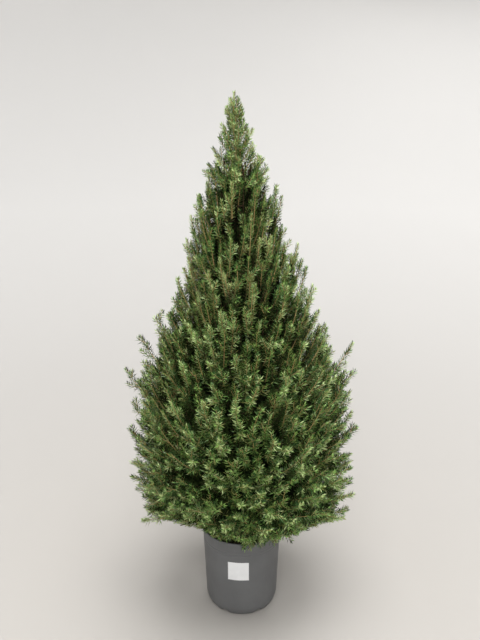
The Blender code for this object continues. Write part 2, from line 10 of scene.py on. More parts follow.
import bpy
import numpy as np
from bpy.props import FloatProperty, FloatVectorProperty, IntProperty, PointerProperty
from bpy.types import Operator, Panel, PropertyGroup
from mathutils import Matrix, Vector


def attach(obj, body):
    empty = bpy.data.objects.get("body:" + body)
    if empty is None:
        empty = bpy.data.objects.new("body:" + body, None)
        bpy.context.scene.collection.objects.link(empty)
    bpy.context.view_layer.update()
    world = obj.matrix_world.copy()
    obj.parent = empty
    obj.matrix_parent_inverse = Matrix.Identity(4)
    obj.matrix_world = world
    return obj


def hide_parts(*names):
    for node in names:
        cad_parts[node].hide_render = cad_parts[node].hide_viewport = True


bl_info = {
    "name": "Potted dwarf spruce",
    "version": (1, 0, 0),
    "blender": (4, 5, 0),
    "location": "View3D > Sidebar > Spruce",
    "description": "Grows a potted dwarf spruce with its needles, bark and pot around its packed model",
    "category": "Object",
}

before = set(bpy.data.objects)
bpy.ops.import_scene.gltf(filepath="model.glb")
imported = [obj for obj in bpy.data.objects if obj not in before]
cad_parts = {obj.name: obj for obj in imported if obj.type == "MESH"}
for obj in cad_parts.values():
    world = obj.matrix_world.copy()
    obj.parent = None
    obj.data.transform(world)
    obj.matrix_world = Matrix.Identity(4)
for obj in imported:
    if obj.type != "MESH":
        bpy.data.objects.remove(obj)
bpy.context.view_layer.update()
BODY = "root"
NODES = sorted(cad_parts)
MASSES = [name for name in NODES if name.endswith("_foliage")]
BOUGHS = [name for name in NODES if name.endswith("_bough")]
UP = np.array((0.0, 0.0, 1.0))
SIDEWAYS = np.array((1.0, 0.0, 0.0))
NEAR_UPRIGHT = 0.9

# The model's named sizes: pot
POT_HEIGHT = 0.2157
POT_RIM_RADIUS = 0.0975
POT_BASE_RADIUS = 0.0861
POT_WALL = 0.0022
POT_FOOT_ROUND = 0.024
POT_FOOT_HEIGHT = 0.034
POT_LIP_HEIGHT = 0.0080
POT_LIP_WIDTH = 0.0022

# The model's named sizes: growing medium and trunk
SOIL_TOP = 0.1990
SOIL_MOUND = 0.0040
SOIL_FLAT_RADIUS = 0.030
TRUNK_BASE_RADIUS = 0.0125
TRUNK_TOP_RADIUS = 0.0022
TRUNK_TOP = 1.0650
TRUNK_FLARE = 0.0065
TRUNK_FLARE_HEIGHT = 0.020
TRUNK_BOW = 0.0060
TRUNK_LEAN = -0.0165

# The model's named sizes: crown outline, underside and paths
CROWN_TOP = 1.2300
CROWN_OUTLINE = (
    (0.180, 0.130), (0.205, 0.190), (0.230, 0.236), (0.270, 0.256), (0.430, 0.264), (0.560, 0.256),
    (0.630, 0.244), (0.680, 0.220), (0.770, 0.177), (0.860, 0.146), (0.965, 0.109), (1.020, 0.092),
    (1.050, 0.080), (1.080, 0.062), (1.110, 0.048), (1.150, 0.032), (1.190, 0.021), (1.230, 0.005))
SKIRT_HEIGHT = 0.2185
SKIRT_START = 0.105
SKIRT_DROOP = -0.32
SKIRT_FRONT_RISE = 0.69
SKIRT_FRONT_WIDTH = 1.3
PATH_FOOT = 0.2320
PATH_FOOT_SLOPE = -0.07
PATH_STEEPENING = 3.2
WIDEST_REACH = 0.3
HALVINGS = 24

# The model's tiers from the skirt up: launch heights, number of masses, azimuth of the first, twist,
# has boughs
TIERS = (
    (0.2150, 0.3400, 6, 30.0, 8.0, True), (0.3400, 0.4350, 6, 0.0, -8.0, True),
    (0.4350, 0.5350, 5, 54.0, 8.0, True), (0.5350, 0.6650, 4, 45.0, -10.0, True),
    (0.6650, 0.8300, 3, 30.0, 12.0, True), (0.8300, 1.0300, 2, 20.0, 0.0, False))
BOUGH_END_SHARE = 0.33
BOUGH_LIFT = (0.26, 0.66)
BOUGH_LIFT_STEP = 0.382
BOUGH_RADII = (0.0060, 0.0036)
BOUGH_THINNING = 0.65
BOUGH_SWAY = 0.010
BOUGH_SWAY_TURNS = 5.0
STEM_END_SHARE = 0.66

# Relief of the bark. The trunk's ridges: depth as a share of the radius, number, turn for each metre,
# start. The boughs' waves: a frequency and a start for each axis
TRUNK_START = SOIL_TOP + 0.0003
TRUNK_RINGS = 130
TRUNK_SIDES = 22
TRUNK_RIDGES = ((0.045, 5.0, 40.0, 0.0), (0.040, 9.0, -95.0, 1.7), (0.030, 14.0, 210.0, 0.6))
BOUGH_RINGS = 16
BOUGH_SIDES = 10
BOUGH_COLLAR = 0.35
BOUGH_COLLAR_SHARE = 0.12
BOUGH_WAVES = (900.0, 1100.0, 700.0)
BOUGH_WAVE_STARTS = (2.0, 0.0, 0.0)
BOUGH_RELIEF = 0.035

# Drain notches of the foot, their deepest faces dark as painted shade, and stacking lines under the rim
HOLE_SPAN = math.tau / 6.0
HOLE_DEPTH = 0.0060
HOLE_EDGE = 0.22
HOLE_DARK = 0.45
HOLE_FOOT = 0.0004
HOLE_SHADE = 0.22
GROOVES = (0.1795, 0.1870)
GROOVE_WIDTH = 0.0013
GROOVE_MARGIN = 3.0 * GROOVE_WIDTH

# Finer shape of the pot: rings of the underside as shares of its flat, rings of the wall below,
# along and above the stacking lines, and corners of the lip by how far each lies within the rim and
# above the lip's foot
POT_SEGMENTS = 288
POT_UNDERSIDE = (0.0, 0.35, 0.7)
POT_WALL_RINGS = (14, 34, 5)
POT_LIP_CORNERS = ((0.5 * POT_LIP_WIDTH, 0.0003), (0.0003, 0.0008), (0.0, 0.0018))
POT_LIP_ROUND = 0.0014
POT_LIP_INSIDE = 0.004
POT_INSIDE_DEPTH = 0.030
SHARP_ANGLE = math.radians(40.0)

# Sticker
STICKER_GRID = (17, 25)
STICKER_HEIGHT = 0.138
STICKER_AZIMUTH = math.radians(-95.0)
STICKER_LIFT = 0.0004
STICKER_CORNER_LIFT = 0.0012
STICKER_CORNER_POWER = 8

# Growing medium
SOIL_SEED = 3
SOIL_RINGS = 40
SOIL_SEGMENTS = 120
SOIL_ROUGHNESS = 0.0011
SOIL_EDGE_SHARE = 0.9
SOIL_GAP = 0.0006
CRUMBS = 420
CRUMB_MARGIN = 0.004
CRUMB_RISE = 0.0008
CRUMB_SIZE = (0.0008, 0.0028)
CRUMB_STRETCH = (0.6, 1.3)
CRUMB_SHAPE = np.array((
    (1, 0, 0), (-1, 0, 0), (0, 1, 0), (0, -1, 0), (0, 0, 1), (0, 0, -1)), dtype=float)
CRUMB_FACES = np.array((
    (0, 2, 4), (2, 1, 4), (1, 3, 4), (3, 0, 4), (2, 0, 5), (1, 2, 5), (3, 1, 5), (0, 3, 5)))

# Spread of the finer growth
GOLDEN = (math.sqrt(5.0) - 1.0) / 2.0
GOLDEN_ANGLE = math.tau * (1.0 - GOLDEN)
SITE_ROWS = 24
SITE_SHIFT = 0.45
SITE_SIDE_SHIFT = 0.04
LOWEST_LAUNCH = 0.2300
SHORTEST_PATH = 0.050
LATERALS = 9
LATERAL_START = 0.37
LATERAL_END = (0.50, 0.66)
LATERAL_ROOTS = (0.26, 0.56)
LATERAL_RADII = (0.0026, 0.0014)
LATERAL_SWAY = 0.006
LINE_POINTS = 7
STALK_POINTS = 5
STALK_BEND = 0.4
TRUNK_HOLDS = np.linspace(0.25, TRUNK_TOP, 80)

# Layers of shoots, from the surface inwards: name, spacing on the crown, depth as a share of the
# reach, length, number of side shoots
LAYERS = (
    ("outer", 0.0425, (0.850, 1.000), (0.105, 0.145), 4),
    ("second", 0.0420, (0.780, 0.880), (0.085, 0.115), 3),
    ("inner", 0.0360, (0.620, 0.760), (0.070, 0.095), 2),
    ("heart", 0.0360, (0.340, 0.560), (0.060, 0.085), 1))
LAYER_START = 0.07
LAYER_STEP = 0.21
# Share of a layer's spacing, of its side shoots that grow, and of its shoots' length
SPACING_SHARE = ((0.30, 1.0), (0.55, 0.92), (0.80, 0.82))
SIDE_SHOOTS_GROWN = ((0.35, 1.0), (0.60, 0.80), (0.90, 0.50))
LENGTH_SHARE = ((0.35, 1.0), (0.60, 0.85), (0.90, 0.70))
# Share of a needle's full length, by the height of its shoot's tip
NEEDLE_SHARE = ((0.48, 1.0), (0.72, 0.88), (0.88, 0.76), (1.02, 0.73), (1.20, 0.74))
# How much deeper than their layer some shoots of the upper crown end
RAGGED = ((0.55, 0.0), (0.80, 0.14), (1.20, 0.18))
# Share by which the crown's left side falls short of its outline
LEFT_SHORT = ((0.70, 0.0), (0.80, 0.06), (0.95, 0.09), (1.03, 0.0))
# How much steeper than its path a shoot's tip points, in degrees, by launch height
TIP_LIFT = (
    (0.22, -3.0), (0.26, 8.0), (0.30, 18.0), (0.36, 26.0), (0.45, 32.0), (0.55, 31.0), (0.70, 24.0),
    (1.03, 17.0))
SHOOT_BEND = 9.0
SHOOT_SWING = 20.0
SHOOT_LEAN = 7.0
STEEPEST = 84.0
LEAST_LEVEL = 0.05
TRUNK_SIDE_SHARE = 0.88
TWIG_RADII = (0.00125, 0.00055)
TWIG_SIDES = 3
BRANCHLET_SIDES = 4
# Rings along the wood of each layer's leading shoots and side shoots; with 0 it is left out
TWIG_RINGS = {"outer": (5, 3), "second": (3, 2), "inner": (3, 0), "heart": (3, 0)}

# Side shoots: places along their shoot, and sizes
SIDE_SHOOT_SHARES = (0.40, 0.58, 0.72, 0.85)
SIDE_SHOOT_SHIFT = 0.06
SIDE_SHOOT_LENGTH = (0.018, 0.034)
SIDE_SHOOT_SHORTENING = (1.25, 0.65)
SIDE_SHOOT_ANGLE = (26.0, 42.0)
SIDE_SHOOT_CURVE = 0.35
SIDE_SHOOT_RISE = 0.22
SIDE_TWIG_SHARE = 0.65
LONG_SIDE_SHOOTS = 0.030

# Single shoots, by azimuth, height and distance from the trunk: those that stand out of the crown,
# and those that hang over the pot's rim
LONG_SHOOTS = (
    (196.0, 0.262, 0.250), (166.0, 0.250, 0.262), (190.0, 0.366, 0.268), (175.0, 0.455, 0.278),
    (186.0, 0.427, 0.256), (188.0, 0.632, 0.268), (180.0, 0.697, 0.232), (184.0, 0.751, 0.190),
    (185.0, 0.814, 0.141), (174.0, 0.850, 0.130), (187.0, 0.922, 0.119), (176.0, 0.969, 0.109),
    (10.0, 0.296, 0.283), (-13.0, 0.325, 0.270), (11.0, 0.345, 0.268), (-10.0, 0.405, 0.262),
    (-8.0, 0.489, 0.272), (6.0, 0.497, 0.270), (-3.0, 0.568, 0.256), (-6.0, 0.620, 0.258),
    (6.0, 0.672, 0.266), (4.0, 0.722, 0.198), (-3.0, 0.761, 0.181), (7.0, 0.811, 0.170),
    (-6.0, 0.860, 0.152), (0.0, 0.908, 0.134), (-8.0, 1.013, 0.100), (4.0, 1.030, 0.088),
    (-4.0, 1.076, 0.050))
RIM_SHOOTS = (
    (-88.0, 0.221, 0.122), (-66.0, 0.233, 0.132), (-52.0, 0.230, 0.138), (-38.0, 0.234, 0.146),
    (-24.0, 0.236, 0.150), (-77.0, 0.232, 0.128))
NEEDLES_PAST_TIP = 0.006

# How much more the underside of the finest growth rises outwards than the masses' does, by azimuth
UNDERSIDE_RISE = (
    (-180.0, 0.26), (-140.0, 0.34), (-105.0, 0.30), (-92.0, 0.06), (-80.0, 0.0), (-48.0, 0.0),
    (-20.0, 0.25), (10.0, 0.43), (90.0, 0.16), (180.0, 0.26))
# How far needles hang below that underside: usually, and from shoots that stand out of the crown
NEEDLE_HANG = 0.002
LONG_HANG = 0.040
UNDERSIDE_CLEARANCE = 0.004
TIP_CLEARANCE = 0.006

# Leader: its stem and shoots, with one long shoot by azimuth, height, distance and length
LEADER_STEM_START = 1.010
LEADER_SHOOTS = 66
LEADER_HEIGHTS = (TRUNK_TOP - 0.020, CROWN_TOP - 0.014)
LEADER_GATHERING = 1.2
LEADER_SHIFT = 0.3
LEADER_SHOOT_LENGTH = (0.070, 0.034)
LEADER_DEPTH = (0.45, 1.05)
LEADER_MIDDLE = 0.55
LEADER_BULGE = 0.16
LEADER_SIDE_SHOOTS = 3
LEADER_LONG_SHOOT = (0.0, 1.151, 0.037, 0.050)

# Needles: angle from the shoot at its base and its tip, widest place, fold, and spread
NEEDLE_ANGLE = (66.0, 36.0)
NEEDLE_ANGLE_SHIFT = 10.0
NEEDLE_TURNING = 2.2
NEEDLE_WIDEST = 0.40
NEEDLE_FOLD = 0.42
NEEDLE_RISE = 0.10
NEEDLE_LENGTHS = (0.85, 1.12)
NEEDLE_WIDTHS = (0.85, 1.15)
NEEDLE_SHIFT = (0.1, 0.9)
NEEDLE_TURN = 1.3
NEEDLE_TURN_SHIFT = 0.3
NEEDLE_TWIST = 0.3
FEWEST_NEEDLES = 6
CROWDING = 1.10
INNER_LENGTH = 1.15
# Share of a needle's length along its shoot, from the root to the tip
NEEDLE_TAPER = ((0.0, 0.70), (0.12, 1.0), (0.75, 0.95), (1.0, 0.60))
NEEDLE_TOP = 0.004
POT_CLEARANCE = 0.0012
MOST_TRIANGLES = 195000

# Tones of the foliage, from the deepest to the freshest tips, and their shares in the outer layer and in
# those behind it. The layers behind take mostly the two darkest tones: painted shade within the crown
TONES = ("shade", "deep", "green", "olive", "fresh", "tip")
TONE_SHARES = ((0.00, 0.00, 0.56, 0.26, 0.18, 0.00), (0.45, 0.35, 0.20, 0.00, 0.00, 0.00))
# The two darkest tones, mostly painted shade on needles behind the outer ones. Roughness and shine of
# those, of the others, and of what lies further in
DARK_TONES = ("shade", "deep")
DULL = (0.7, 0.06)
SHINY = (0.35, 0.60)
INSIDE_SURFACE = (0.85, 0.03)
TWIG_SURFACE = (0.7, 0.3)
BRANCHLET_SURFACE = (0.85, 0.10)
# Needles differ from their shoot's tone by -2 to +2 steps at random, the lightest steps partly painted
# glints; those on its side to the trunk are dark: painted shade, partly the duller colour of older needles
TONE_STEPS = (0.15, 0.34, 0.66, 0.85)
BACK_NEEDLES = -0.40
BACK_DARK_UP_TO = 0.80
# Needles are lighter at a shoot's end, partly fresh growth and partly a painted highlight, and towards the
# crown's top, painted light from above: the added chance
END_START = 0.82
END_FRESH_AND_HIGHLIGHT = 0.23
HIGH_PAINTED_LIGHT = ((0.50, 0.0), (0.90, 0.16))
# Share of the side shoots that have a tone of their own
OWN_TONE = 0.45

# Studio: a floor that curves up into a backdrop, and lamps by name, size, place and aim
FLOOR_RINGS = ((0.0, 0.0), (0.5, 0.0), (1.0, 0.0), (1.6, 0.0))
FLOOR_CURVE = 3.8
BACKDROP_HEIGHT = 7.0
FLOOR_SEGMENTS = 96
FLOOR_FADE = (0.5, 6.0)
FLOOR_FADE_END = 0.55
GLOW_SPAN = (0.12, 0.72)
LAMPS = (
    ("top", 2.8, (0.2, -0.7, 4.6), (0.2, -0.7, 0.5)), ("key", 2.2, (-0.2, -3.7, 3.3), (0.0, 0.0, 0.6)),
    ("back", 2.2, (1.6, 3.6, 3.4), (0.0, 0.0, 0.6)))
SKY_COLOUR = (0.97, 0.985, 1.0, 1.0)
CAMERA_PLACE = (-0.004, -1.550, 1.213)
SENSOR_WIDTH = 36.0
BLACK = (0.0, 0.0, 0.0)


def mix(low, high, share):
    """The value at a share of the way from low to high."""
    return low + (high - low) * share


def read(table, at):
    """What a table gives at some heights, or whatever its rows start with."""
    return np.interp(at, *zip(*table))


def unit(vectors):
    """Vectors brought to length one."""
    return vectors / np.maximum(np.linalg.norm(vectors, axis=-1, keepdims=True), 1e-12)


def spin(one, two, angle):
    """Directions turned by angles from the first to the second of two square ones."""
    return one * np.cos(angle)[..., None] + two * np.sin(angle)[..., None]


def outward(azimuth):
    """The level direction away from the trunk at some azimuths."""
    azimuth = np.asarray(azimuth, dtype=float)
    return np.stack((np.cos(azimuth), np.sin(azimuth), np.zeros_like(azimuth)), axis=-1)


def trunk_centre(height):
    """The trunk's centre line at some heights."""
    height = np.asarray(height, dtype=float)
    share = (height - SOIL_TOP) / (CROWN_TOP - SOIL_TOP)
    sideways = TRUNK_BOW * 4.0 * share * (1.0 - share) + TRUNK_LEAN * share
    return np.stack((sideways, np.zeros_like(height), height), axis=-1)


def trunk_radius(height):
    """The trunk's radius at some heights: an even taper, with a flare at the root."""
    share = (height - SOIL_TOP) / (TRUNK_TOP - SOIL_TOP)
    flare = TRUNK_FLARE * np.exp(-(height - SOIL_TOP) / TRUNK_FLARE_HEIGHT)
    return mix(TRUNK_BASE_RADIUS, TRUNK_TOP_RADIUS, share) + flare


def around_trunk(points):
    """Azimuth of points round the trunk, and their distance from it."""
    offset = points - trunk_centre(points[:, 2])
    return np.arctan2(offset[:, 1], offset[:, 0]), np.hypot(offset[:, 0], offset[:, 1])


def path_slope(launch):
    """How steeply the path from a launch height rises."""
    return PATH_FOOT_SLOPE + PATH_STEEPENING * (launch - PATH_FOOT)


def place(launch, azimuth, distance):
    """Points of the paths with these launch heights and azimuths at distances from the trunk."""
    launch, azimuth, distance = np.broadcast_arrays(launch, azimuth, distance)
    height = launch + distance * path_slope(launch)
    return trunk_centre(height) + outward(azimuth) * distance[..., None]


def measure(points):
    """Launch height and azimuth of points."""
    azimuth, distance = around_trunk(points)
    rise = points[:, 2] - distance * (PATH_FOOT_SLOPE - PATH_STEEPENING * PATH_FOOT)
    return rise / (1.0 + PATH_STEEPENING * distance), azimuth


def skirt_bottom(azimuth, distance):
    """Height of the crown's underside."""
    frontness = np.minimum(1.0, SKIRT_FRONT_WIDTH * np.maximum(0.0, -np.sin(azimuth)))
    slope = mix(SKIRT_DROOP, SKIRT_FRONT_RISE, frontness)
    return SKIRT_HEIGHT + slope * np.maximum(0.0, distance - SKIRT_START)


def finest_bottom(azimuth, distance):
    """Height of the underside of the finest growth."""
    rise = read(UNDERSIDE_RISE, np.degrees(np.arctan2(np.sin(azimuth), np.cos(azimuth))))
    return skirt_bottom(azimuth, distance) + rise * np.maximum(0.0, distance - SKIRT_START)


def path_end(launch, azimuth, bottom=skirt_bottom):
    """Distance from the trunk at which some paths leave the crown, at its side or its underside."""
    launch, azimuth = np.broadcast_arrays(np.asarray(launch, dtype=float), azimuth)
    near = np.zeros(launch.shape)
    far = np.full(launch.shape, WIDEST_REACH)
    for _ in range(HALVINGS):
        middle = (near + far) / 2.0
        height = launch + middle * path_slope(launch)
        inside = (middle < read(CROWN_OUTLINE, height)) & (height > bottom(azimuth, middle))
        near = np.where(inside, middle, near)
        far = np.where(inside, far, middle)
    return near


class Cell:
    """The space that one mass of foliage grows in."""

    def __init__(self, tier, index):
        self.low, self.high, count, first, twist, self.has_bough = tier
        self.azimuth = math.radians(first + 360.0 * index / count)
        self.half_width = math.pi / count
        self.twist = math.radians(twist)
        lift = mix(*BOUGH_LIFT, (index * BOUGH_LIFT_STEP) % 1.0)
        self.launch = mix(self.low, self.high, lift)
        self.reach = float(path_end(self.launch, math.pi / 2.0))

    def middle(self, launch):
        """Azimuth of the cell's middle at a launch height."""
        return self.azimuth + self.twist * ((launch - self.low) / (self.high - self.low) - 0.5)

    def thickness(self, share):
        """The bough's radius at a share of its length: higher boughs are thinner."""
        height_share = (self.launch - PATH_FOOT) / (CROWN_TOP - PATH_FOOT)
        return mix(*BOUGH_RADII, share) * (1.0 - BOUGH_THINNING * height_share)

    def bough(self, distance):
        """The bough's centre line, and the stem's beyond it, at distances from the trunk."""
        bend = np.sin(math.pi * np.minimum(distance / (BOUGH_END_SHARE * self.reach), 1.0))
        sway = BOUGH_SWAY * bend * math.cos(BOUGH_SWAY_TURNS * self.azimuth) * self.has_bough
        side = outward(self.azimuth + math.pi / 2.0)
        return place(self.launch, self.middle(self.launch), distance) + side * sway[..., None]


def all_cells():
    """The cell of each mass below the leader."""
    return [Cell(tier, index) for tier in TIERS for index in range(tier[2])]


def bend_point(root, middle, tip, share):
    """Points of quadratic curves at shares of their way."""
    share = np.asarray(share)[..., None]
    return (1.0 - share) ** 2 * root + 2.0 * share * (1.0 - share) * middle + share ** 2 * tip


def bend_heading(root, middle, tip, share):
    """Headings of quadratic curves at shares of their way."""
    share = np.asarray(share)[..., None]
    return unit((1.0 - share) * (middle - root) + share * (tip - middle))


def square_to(heading):
    """Two directions square to each heading and to each other."""
    steep = np.abs(heading[..., 2:3]) > NEAR_UPRIGHT
    one = unit(np.cross(heading, np.where(steep, SIDEWAYS, UP)))
    return one, np.cross(heading, one)


def walls(here, beside):
    """Quads between rows of corners and the corners beside them."""
    corners = (here[..., :-1, :], beside[..., :-1, :], beside[..., 1:, :], here[..., 1:, :])
    return np.stack(corners, axis=-1).reshape(-1, 4)


def ring_walls(*shape):
    """Quads between closed rings of corners, laid out as limbs, rings and sides."""
    here = np.arange(math.prod(shape)).reshape(shape)
    return walls(here, np.roll(here, -1, axis=-1))


def halved(quads):
    """Two triangles for each quad."""
    return np.concatenate((quads[:, (0, 1, 2)], quads[:, (0, 2, 3)]))


def copied(faces, count, size):
    """The faces of a number of like parts, each with a number of corners."""
    return (faces[None] + (size * np.arange(count))[:, None, None]).reshape(-1, faces.shape[1])


def join(meshes):
    """Several meshes as one."""
    starts = np.cumsum([0] + [len(corners) for corners, _ in meshes[:-1]])
    corners = np.concatenate([corners for corners, _ in meshes])
    return corners, np.concatenate([faces + start for (_, faces), start in zip(meshes, starts)])


def limbs(paths, radii, sides):
    """Corners and triangles of tapering limbs: paths are (limb, ring, 3), radii (limb, ring)."""
    heading = unit(np.gradient(paths, axis=1))
    steady = np.broadcast_to(unit(paths[:, -1] - paths[:, 0])[:, None], heading.shape)
    one, _ = square_to(steady)
    one = unit(one - heading * np.sum(one * heading, axis=-1, keepdims=True))
    two = np.cross(heading, one)
    ring = spin(one[:, :, None], two[:, :, None], math.tau * np.arange(sides) / sides)
    corners = paths[:, :, None] + ring * radii[:, :, None, None]
    return corners.reshape(-1, 3), halved(ring_walls(*radii.shape, sides))


def turned(profile, segments):
    """Corners (ring, segment, 3) and quads of a profile turned round Z."""
    angle = math.tau * np.arange(segments) / segments
    corners = outward(angle)[None] * profile[:, 0][:, None, None]
    corners[..., 2] = profile[:, 1][:, None]
    return corners, ring_walls(len(profile), segments)


def make_piece(name, corners, faces, look, slot, smooth=False):
    """A mesh piece that rides with the plant."""
    mesh = bpy.data.meshes.new(name)
    corners = np.ascontiguousarray(corners, dtype=np.float32).reshape(-1, 3)
    mesh.vertices.add(len(corners))
    mesh.vertices.foreach_set("co", corners.ravel())
    mesh.loops.add(faces.size)
    mesh.loops.foreach_set("vertex_index", np.ascontiguousarray(faces, dtype=np.int32).ravel())
    mesh.polygons.add(len(faces))
    starts = np.arange(0, faces.size, faces.shape[1], dtype=np.int32)
    mesh.polygons.foreach_set("loop_start", starts)
    mesh.update(calc_edges=True)
    mesh.validate()
    if smooth:
        mesh.shade_smooth()
    mesh.materials.append(look)
    made = bpy.data.objects.new(name, mesh)
    bpy.context.scene.collection.objects.link(made)
    if slot:
        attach(made, BODY)
    return made


def spread_pieces(name, corners, faces, look):
    """Joined pieces of many like needles, each piece under the limit of triangles."""
    count = math.ceil(len(corners) * len(faces) / MOST_TRIANGLES)
    for number, part in enumerate(np.array_split(corners, count)):
        label = name if count == 1 else "{}_{}".format(name, number + 1)
        shape = copied(faces, len(part), part.shape[1])
        piece = make_piece(label, part, shape, look, "needles")
        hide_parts(*MASSES)


def plain_look(name, colour, roughness, specular):
    """A Principled material with its values on its own sockets."""
    look = bpy.data.materials.new(name)
    look.use_nodes = True
    shader = look.node_tree.nodes["Principled BSDF"]
    shader.inputs["Base Color"].default_value = (*colour, 1.0)
    shader.inputs["Roughness"].default_value = roughness
    shader.inputs["Specular IOR Level"].default_value = specular
    return look


def shaded(colour, factor):
    """A colour made darker or lighter by a factor."""
    return tuple(min(1.0, channel * factor) for channel in colour)


class Nodes:
    """Builds the node tree of a patterned material in the object's own coordinates."""

    def __init__(self, look):
        self.tree = look.node_tree
        self.shader = self.tree.nodes["Principled BSDF"]
        self.place = self.add("TexCoord", "Object", {})

    def fill(self, node, inputs):
        """Set a node's inputs to values, or lead other nodes' outputs to them."""
        for name, value in inputs.items():
            if isinstance(value, bpy.types.NodeSocket):
                self.tree.links.new(value, node.inputs[name])
            elif value is not None:
                node.inputs[name].default_value = value

    def add(self, kind, output, inputs, **options):
        """A new node's output."""
        node = self.tree.nodes.new("ShaderNode" + kind)
        for name, value in options.items():
            setattr(node, name, value)
        self.fill(node, inputs)
        return node.outputs[output]

    def stretched(self, scale):
        """The object's coordinates, scaled along each axis."""
        return self.add("Mapping", "Vector", {"Vector": self.place, "Scale": scale})

    def away(self, near, far):
        """How far a point lies from the object's origin, from 0 at one distance to 1 at another."""
        length = self.add("VectorMath", "Value", {0: self.place}, operation="LENGTH")
        return self.add("MapRange", "Result", {"Value": length, "From Min": near, "From Max": far})

    def noise(self, scale, detail, roughness=0.5, where=None):
        """A noise pattern's value."""
        return self.add("TexNoise", "Fac", {
            "Vector": where or self.place, "Scale": scale, "Detail": detail, "Roughness": roughness})

    def cells(self, scale, where=None):
        """The distance to the nearest point of a cell pattern."""
        return self.add("TexVoronoi", "Distance", {"Vector": where or self.place, "Scale": scale})

    def ramp(self, value, *stops):
        """Colours laid along a value: each stop is a position and a colour."""
        node = self.tree.nodes.new("ShaderNodeValToRGB")
        for entry, (position, colour) in zip(node.color_ramp.elements, (stops[0], stops[-1])):
            entry.position = position
            entry.color = (*colour, 1.0)
        for position, colour in stops[1:-1]:
            node.color_ramp.elements.new(position).color = (*colour, 1.0)
        self.fill(node, {"Fac": value})
        return node.outputs["Color"]

    def span(self, value, low, high):
        """A value brought to the span from low to high."""
        return self.add("MapRange", "Result", {"Value": value, "To Min": low, "To Max": high})

    def blend(self, share, one, two):
        """A colour pattern blended into a plain colour by a share."""
        inputs = {"Factor": share, 6: one, 7: (*two, 1.0)}
        return self.add("Mix", 2, inputs, data_type="RGBA")

    def bump(self, value, strength, distance, after=None):
        """A bump from a value."""
        return self.add("Bump", "Normal", {
            "Strength": strength, "Distance": distance, "Height": value, "Normal": after})

    def finish(self, colour, roughness, normal):
        """Lead the patterns to the shader."""
        self.fill(self.shader, {"Base Color": colour, "Roughness": roughness, "Normal": normal})


def bark_look(colour):
    """Rough bark: flaky ridges along the limb, browns and greys."""
    look = plain_look("bark", colour, 0.9, 0.25)
    nodes = Nodes(look)
    along = nodes.stretched((1.0, 1.0, 0.35))
    flakes = nodes.cells(260.0, along)
    grain = nodes.noise(420.0, 6.0, 0.6, along)
    tint = nodes.ramp(grain, (0.30, shaded(colour, 0.45)), (0.52, colour), (0.75, shaded(colour, 1.9)))
    relief = nodes.bump(grain, 0.6, 0.0010, nodes.bump(flakes, 0.7, 0.0012))
    nodes.finish(tint, nodes.span(grain, 0.78, 0.98), relief)
    return look


def plastic_look(colour):
    """Moulded pot plastic: satin, with a fine grain, faint scuffs up the wall and specks of dust all over.
    """
    look = plain_look("pot_plastic", colour, 0.5, 0.42)
    nodes = Nodes(look)
    clouds = nodes.noise(14.0, 4.0, 0.55)
    scuffs = nodes.noise(90.0, 5.0, 0.7, nodes.stretched((1.0, 1.0, 0.12)))
    dust = nodes.noise(160.0, 6.0, 0.75)
    tint = nodes.ramp(clouds, (0.30, shaded(colour, 0.90)), (0.70, shaded(colour, 1.08)))
    marks = nodes.ramp(scuffs, (0.60, BLACK), (0.78, (0.20, 0.20, 0.20)))
    tint = nodes.blend(marks, tint, shaded(colour, 2.0))
    specks = nodes.ramp(dust, (0.64, BLACK), (0.80, (0.35, 0.35, 0.35)))
    tint = nodes.blend(specks, tint, (0.20, 0.165, 0.125))
    grain = nodes.bump(nodes.noise(900.0, 3.0), 0.10, 0.0003)
    relief = nodes.bump(nodes.noise(26.0, 3.0), 0.22, 0.0010, grain)
    nodes.finish(tint, nodes.span(scuffs, 0.44, 0.66), relief)
    return look


def paper_look(colour):
    """Coated paper: almost white, with faint fibres and a slight wave."""
    look = plain_look("sticker_paper", colour, 0.45, 0.45)
    nodes = Nodes(look)
    fibres = nodes.noise(700.0, 4.0, 0.6)
    clouds = nodes.noise(60.0, 3.0)
    tint = nodes.ramp(clouds, (0.30, shaded(colour, 0.93)), (0.70, colour))
    relief = nodes.bump(clouds, 0.25, 0.0006, nodes.bump(fibres, 0.12, 0.0002))
    nodes.finish(tint, nodes.span(fibres, 0.38, 0.55), relief)
    return look


def soil_look(colour):
    """Moist crumbly growing medium."""
    look = plain_look("growing_medium", colour, 0.95, 0.2)
    nodes = Nodes(look)
    crumbs = nodes.noise(240.0, 8.0, 0.7)
    tint = nodes.ramp(crumbs, (0.32, shaded(colour, 0.4)), (0.52, colour), (0.74, shaded(colour, 2.4)))
    relief = nodes.bump(crumbs, 0.9, 0.0020, nodes.bump(nodes.cells(330.0), 0.6, 0.0015))
    nodes.finish(tint, nodes.span(crumbs, 0.82, 1.0), relief)
    return look


def floor_look(floor, backdrop, glow):
    """Pale matt floor that fades into a lighter backdrop with a faint glow of its own."""
    look = plain_look("studio_floor", floor, 0.9, 0.2)
    nodes = Nodes(look)
    away = nodes.away(*FLOOR_FADE)
    tint = nodes.ramp(away, (0.0, floor), (FLOOR_FADE_END, backdrop))
    nodes.finish(tint, None, nodes.bump(nodes.noise(40.0, 4.0), 0.1, 0.002))
    light = nodes.ramp(away, (GLOW_SPAN[0], BLACK), (GLOW_SPAN[1], backdrop))
    nodes.fill(nodes.shader, {"Emission Color": light, "Emission Strength": glow})
    return look


def size_setting(name, text, default):
    """A setting in metres."""
    return FloatProperty(name=name, description=text, default=default, unit="LENGTH")


def power_setting(name, text, default):
    """A setting in watts."""
    return FloatProperty(name=name, description=text, default=default, unit="POWER")


def colour_setting(name, text, *default):
    """A setting for a base colour."""
    return FloatVectorProperty(name=name, description=text, default=default, subtype="COLOR")


